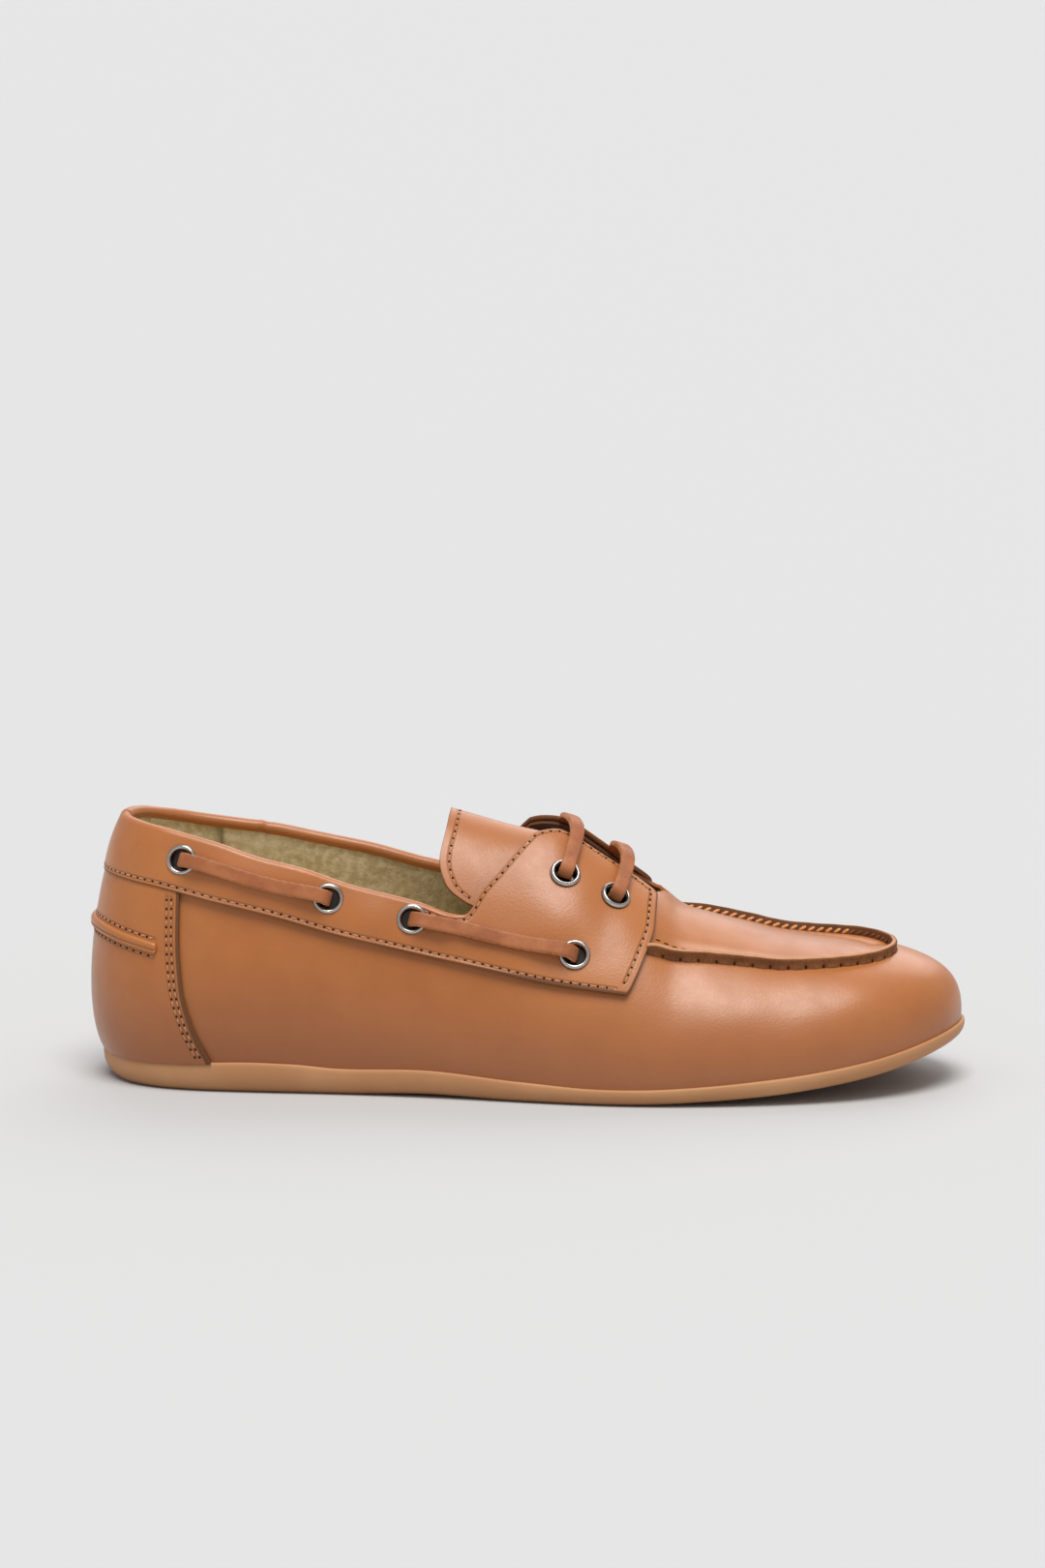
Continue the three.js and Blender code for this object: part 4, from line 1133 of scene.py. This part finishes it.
cut_edge = Finish("cut_leather_edge")
fibres = cut_edge.noise(1000, 3, 0.6)
edge_streaks = cut_edge.noise(160, 3)
edge_colour = cut_edge.blend(edge_streaks.fade(0.3, 0.7), (0.185, 0.068, 0.022), (0.265, 0.102, 0.036))
edge_colour = cut_edge.blend(fibres.fade(0.45, 0.7, 0.0, 0.5), edge_colour, (0.115, 0.040, 0.013))
pale_top = cut_edge.mark("pale") * fibres.fade(0.2, 0.45, 0.5, 1.0)
edge_colour = cut_edge.blend(pale_top, edge_colour, (0.60, 0.30, 0.16))
# The plug side of the ridge is darkened: painted shade in the groove between ridge and plug.
edge_colour = cut_edge.blend(cut_edge.mark("inner") * 0.7, edge_colour, (0.10, 0.035, 0.013))
edge_relief = cut_edge.relief(0.12, fibres)
cut_material = cut_edge.finish(colour=edge_colour, rough=0.7, gloss=0.25, normal=edge_relief)
seam = wrapped("apron_ridge", 900, 20, seam_skin, marks=seam_marks)
dressed(seam, cut_material, ["apron_seam"])

orange_material = twisted("orange_thread", 1500, (0.66, 0.25, 0.075), (0.85, 0.42, 0.17), 0.6)

foot_height = seam_up * seam_tall(seam_length)[:, None] * 0.3
inner_row = (seam_base + seam_side * -SEAM_WIDTH * 0.55 + foot_height, -seam_side)
at_toe = seam_base[:, 0] > TOE_START
on_sides = ~at_toe & (seam_length <= seam_length[-1] - 5)
toe_row, near_row, far_row = (
    [part[stretch] for part in inner_row]
    for stretch in (at_toe, on_sides & (seam_base[:, 1] < 0), on_sides & (seam_base[:, 1] > 0))
)
plug_plan = seam_plan - seam_out * (2.6 - 1.3 * np.clip(seam_length / NEAR_PLUG, 0, 1))[:, None]
plug_plan = plug_plan[(seam_length > 0.5) & (seam_length < NEAR_PLUG)]
plug_u, plug_v = under_plan(plug_plan)
plug_row = (over(plug_u, plug_v, 0.05 + swell(plug_u, plug_v)), outward(plug_u, plug_v))
outer_row = (seam_base + seam_side * SEAM_WIDTH * 0.62 + seam_up * 0.35, seam_side * 0.7 + seam_up * 0.3)
WHIP = SEAM_PITCH / 2
sew("apron_whip_stitches", [near_row, far_row], WHIP, (2.7, 1.05, 0.6), orange_material, 0.6)
# At the toe the whip stitches take the edge's dark colour: painted shade on the thread, which lies low in
# the seam there.
sew("apron_toe_stitches", [toe_row], WHIP, (2.4, 0.9, 0.5), cut_material, 0.6)
# Dark spots of painted shade for the stitch holes beside the seam and along the plug.
sew("apron_side_stitches", [outer_row], SEAM_PITCH, (0.7, 1.5, 0.55), hole_shade_material, start=0.0)
sew("apron_plug_stitches", [plug_row], WHIP, (1.7, 0.45, 0.3), hole_shade_material, 0.15)

# Tongue: one soft piece of the leather, about 1.8 mm thick, sewn to the plug under the facings and standing
# free behind them, with a row of stitches round its free end and a brown flesh side.
TONGUE_END = [(0.68, 0.48), (0.73, 0.435), (0.8, 0.41), (0.88, 0.403), (1.0, 0.41), (1.2, 0.422)]  # up, at
TONGUE_FRONT, TONGUE_FEET = 0.69, (0.68, 0.62)  # the feet's heights, as shares of INSTEP_HEIGHT
TONGUE_DIP, TONGUE_INSET = 3.0, 2.7


def tongue_place(s, w, inset=0.0):
    """s from the free end to the front, w across from -1 to 1."""
    end = np.full_like(s, 0.42 * LENGTH)
    for _ in range(8):
        point = tongue_rib(end, w)[2]
        end = LENGTH * ease(TONGUE_END, point[:, 2] / INSTEP_HEIGHT) + inset
    return tongue_rib(end + (TONGUE_FRONT * LENGTH - end) * s, w)


def tongue_rib(x, w):
    """The tongue's cross line at x, from one foot over the instep to the other."""
    u = round_at(np.where(w < 0, -1, 1), x)
    foot = INSTEP_HEIGHT * np.interp(x / LENGTH, [0.48, TONGUE_FRONT], TONGUE_FEET)
    v = 1 - np.abs(w) * (1 - level_where(u, lambda point: point[..., 2] > foot))
    share = np.clip((x / LENGTH - 0.4) / (TONGUE_FRONT - 0.4), 0, 1)
    offset = -UPPER_WALL - CLEARANCE - TONGUE_DIP * np.sin(np.pi * share) ** 2
    return u, v, over(u, v, offset)


def tongue_skin(s, t):
    return tongue_place(s, 2 * t - 1)[2]


tongue_u, tongue_v, tongue_line = tongue_place(np.zeros(160), np.linspace(-0.86, 0.86, 160), TONGUE_INSET)


def tongue_marks(s, t, place):
    edge = np.minimum(s * 60, 25 * (0.5 - np.abs(t - 0.5))) + 0.4
    return {"stitch_mm": nearest(place, tongue_line), "edge_mm": edge}


tongue_material = leather("tan_tongue_leather", tint=0.08, stitched=True)
tongue = wrapped("tongue_leather", 150, 110, tongue_skin, marks=tongue_marks)
dressed(tongue, tongue_material, ["tongue"], wall=1.5, bevel=0.3)
stitched("tongue", [(tongue_line, outward(tongue_u, tongue_v))])

# Eyelets: pressed nickel rings with a rolled flange, six on each side, clenched through band and lining.
# Each neck is open to the front and painted dark inside, as is the flange's outer rim: painted shade and
# painted dark reflections.
EYELET_RISE = 1.1
# The ring's section from its back up the neck, over the lip and out to the flange's edge: radius, height.
RING = [(0.2, -1.9), (2.9, -1.9), (2.88, -1.2), (2.92, -0.2), (3.05, 0.35), (3.28, 0.75), (3.58, 0.98)]
RING += [(3.88, 0.98), (4.15, 0.8), (4.36, 0.5), (4.48, 0.15), (4.5, -0.25), (4.2, -0.45), (3.4, -0.5)]

nickel = Finish("polished_nickel")
brushed = nickel.noise(700, 3)
nickel_colour = nickel.blend(nickel.noise(150, 2).fade(0.4, 0.75), (0.52, 0.51, 0.49), (0.36, 0.35, 0.335))
# Near-black inside the neck and round the flange's outer rim: painted shade and painted reflections of a
# dark studio.
nickel_colour = nickel.blend(nickel.mark("dull"), nickel_colour, (0.06, 0.055, 0.05))
nickel_rough = brushed.fade(0.3, 0.7, 0.18, 0.21)
nickel_material = nickel.finish(colour=nickel_colour, metal=1.0, rough=nickel_rough)


def ring_skin(label, side):
    middle, along, up, out = eyelet_frame(label, side)
    middle = middle + out * (PUCKER + 0.25)

    def wrap(s, t):
        radius, height = along_rows(RING, t).T
        turn = 2 * np.pi * s
        flat = along * (radius * np.cos(turn))[:, None] + up * (radius * np.sin(turn))[:, None]
        return middle + flat + out * height[:, None]

    return wrap


def ring_marks(s, t, place):
    row = t * (len(RING) - 1)
    return {"dull": np.maximum(soft_step((3.4 - row) / 1.6), soft_step((row - 9.4) / 1.2))}


for label, side in EYELET_AT:
    name = label + "_" + SIDES[side]
    ring = wrapped("ring_" + name, 48, 36, ring_skin(label, side), closed=True, marks=ring_marks)
    dressed(ring, nickel_material, ["eyelet_" + name])

# Laces: flat thongs cut from reddish leather, 4 mm wide, run through the eyelets along each side of the
# collar and over the throat. Their cut edges are pale and rough, and hidden ends stop at the eyelets.
LACE_WIDTH, LACE_THICKNESS, LACE_DEPTH, LACE_SAG = 4.1, 1.9, 2.6, 1.0
LACE_LIFT = EYELET_RISE + 2 * CLEARANCE + LACE_THICKNESS / 2 - 0.25  # over the lip of an eyelet
LACE_STEPS = 140
BAR_OVER = {"rear": 3.3, "front": 5.2}  # how far a bar's crest lies over the last

thong = Finish("leather_thong")
thong_fibres = thong.noise(900, 3, 0.6)
thong_clouds = thong.noise(150, 2)
thong_colour = thong.blend(thong_clouds.fade(0.35, 0.7), (0.33, 0.100, 0.033), (0.43, 0.145, 0.050))
rough_edge = thong.mark("edge") * thong_fibres.fade(0.3, 0.55)
thong_colour = thong.blend(rough_edge, thong_colour, (0.60, 0.29, 0.13))
thong_rough = thong_fibres.fade(0.3, 0.7, 0.45, 0.65)
thong_relief = thong.relief(0.14, thong_fibres)
thong_material = thong.finish(colour=thong_colour, rough=thong_rough, gloss=0.4, normal=thong_relief)


def lace_from(label, side, towards):
    """The first stops of a thong: out of an eyelet, over its lip and flat on the leather."""
    middle, _, _, out = eyelet_frame(label, side)
    way = towards - middle
    way = unit(way - way.dot(out) * out)
    wide = np.cross(out, way)
    stops = [(0, -LACE_DEPTH), (0.02 * LACE_WIDTH, 0), (0.34 * LACE_WIDTH, 0.8 * LACE_LIFT)]
    stops += [(0.75 * LACE_WIDTH, 1.02 * LACE_LIFT), (1.2 * LACE_WIDTH, LACE_LIFT)]
    return [(middle + way * across + out * up, wide) for across, up in stops]


def turned_round(stops):
    return [(point, -wide) for point, wide in stops[::-1]]


def boxy(wave, power):
    """Flattens a sine so that the thong's section is a rounded rectangle."""
    return np.sign(wave) * np.abs(wave) ** power


def lace(name, stops):
    points, wides = np.array([stop[0] for stop in stops]), np.array([stop[1] for stop in stops])
    path, gap = smooth_path(points, LACE_STEPS), lengths(points)
    along = unit(np.gradient(path, axis=0))
    wide = between(np.linspace(0, gap[-1], LACE_STEPS), gap, wides)
    wide = unit(wide - (wide * along).sum(1, keepdims=True) * along)
    lace_frame = path, wide, np.cross(along, wide)

    def wrap(s, t):
        at, turn = s * (LACE_STEPS - 1), 2 * np.pi * t
        centre, across, up = (along_rows(table, s) for table in lace_frame)
        taper = np.clip(np.minimum(s, 1 - s) * 60, 0, 1) ** 0.5
        ragged = 1 + 0.015 * np.sin(at * 1.7 + 2 * t) + 0.012 * np.sin(at * 0.9 + 9 * t)
        flat_across = boxy(np.cos(turn), 0.35) * LACE_WIDTH / 2 * ragged
        flat_up = boxy(np.sin(turn), 0.4) * LACE_THICKNESS / 2
        return centre + (across * flat_across[:, None] + up * flat_up[:, None]) * taper[:, None]

    def marks(s, t, place):
        return {"edge": np.clip((np.abs(np.cos(2 * np.pi * t)) - 0.9) * 14, 0, 1)}

    piece = wrapped("thong_" + name, 160, 40, wrap, closed=True, marks=marks)
    rework(piece, bpy.ops.mesh.normals_make_consistent, inside=False)
    dressed(piece, thong_material, ["lace_" + name])


def side_lace(side, start, end):
    """A run along the collar: it lies on the band between two eyelets and sags a little."""
    first, second = eyelet_frame(start, side)[0], eyelet_frame(end, side)[0]
    lying = []
    for share in (0.3, 0.5, 0.7):
        aim = first + share * (second - first) - (0, 0, LACE_SAG * math.sin(math.pi * share))
        far = (side_grid[..., 0] - aim[0]) ** 2 + (side_grid[..., 2] - aim[2]) ** 2
        far = np.where(side_grid[..., 1] * side > 0, far, 1e9)
        spot = np.unravel_index(far.argmin(), far.shape)
        u, v = side_u[spot], side_v[spot]
        lift = CLEARANCE + BAND_WALL + 0.5 + LACE_THICKNESS / 2 + swell(u, v)
        lying.append((over(u, v, lift), unit(np.cross(outward(u, v), unit(second - first)))))
    return [*lace_from(start, side, second), *lying, *turned_round(lace_from(end, side, first))]


side_u, side_v = np.meshgrid(np.linspace(0, ROUND, 1441), np.linspace(0.3, 0.98, 341))
side_grid = last(side_u, side_v)
for side, label in SIDES.items():
    lace("rear_" + label, side_lace(side, "heel", "ankle"))
    lace("front_" + label, side_lace(side, "quarter", "vamp"))

# A bar's way over the throat: share of the way across, how far forward, how far below its crest.
BAR_WAY = [(0.2, 2.6, 4.4), (0.31, 2.8, 1.5), (0.44, 1.6, 0.1), (0.57, 0.0, 0.2), (0.7, -1.0, 1.6)]
BAR_WAY += [(0.82, -0.8, 4.4)]


def bar(end):
    first, second = (eyelet_frame("facing_" + end, side)[0] for side in SIDES)
    x = (first[0] + second[0]) / 2
    crest = ridge_height(x + 2.5) + BAR_OVER[end]
    points = [
        np.array([x + forward, first[1] + share * (second[1] - first[1]), crest - drop])
        for share, forward, drop in BAR_WAY
    ]
    leave = lace_from("facing_" + end, -1, points[0])[:-2]
    enter = lace_from("facing_" + end, 1, points[-1])[:-2]
    wide = unit(np.array([-1, -0.25, 0.35]))
    return [*leave, *[(point, wide) for point in points], *turned_round(enter)]


for end in BAR_OVER:
    lace("bar_" + end, bar(end))
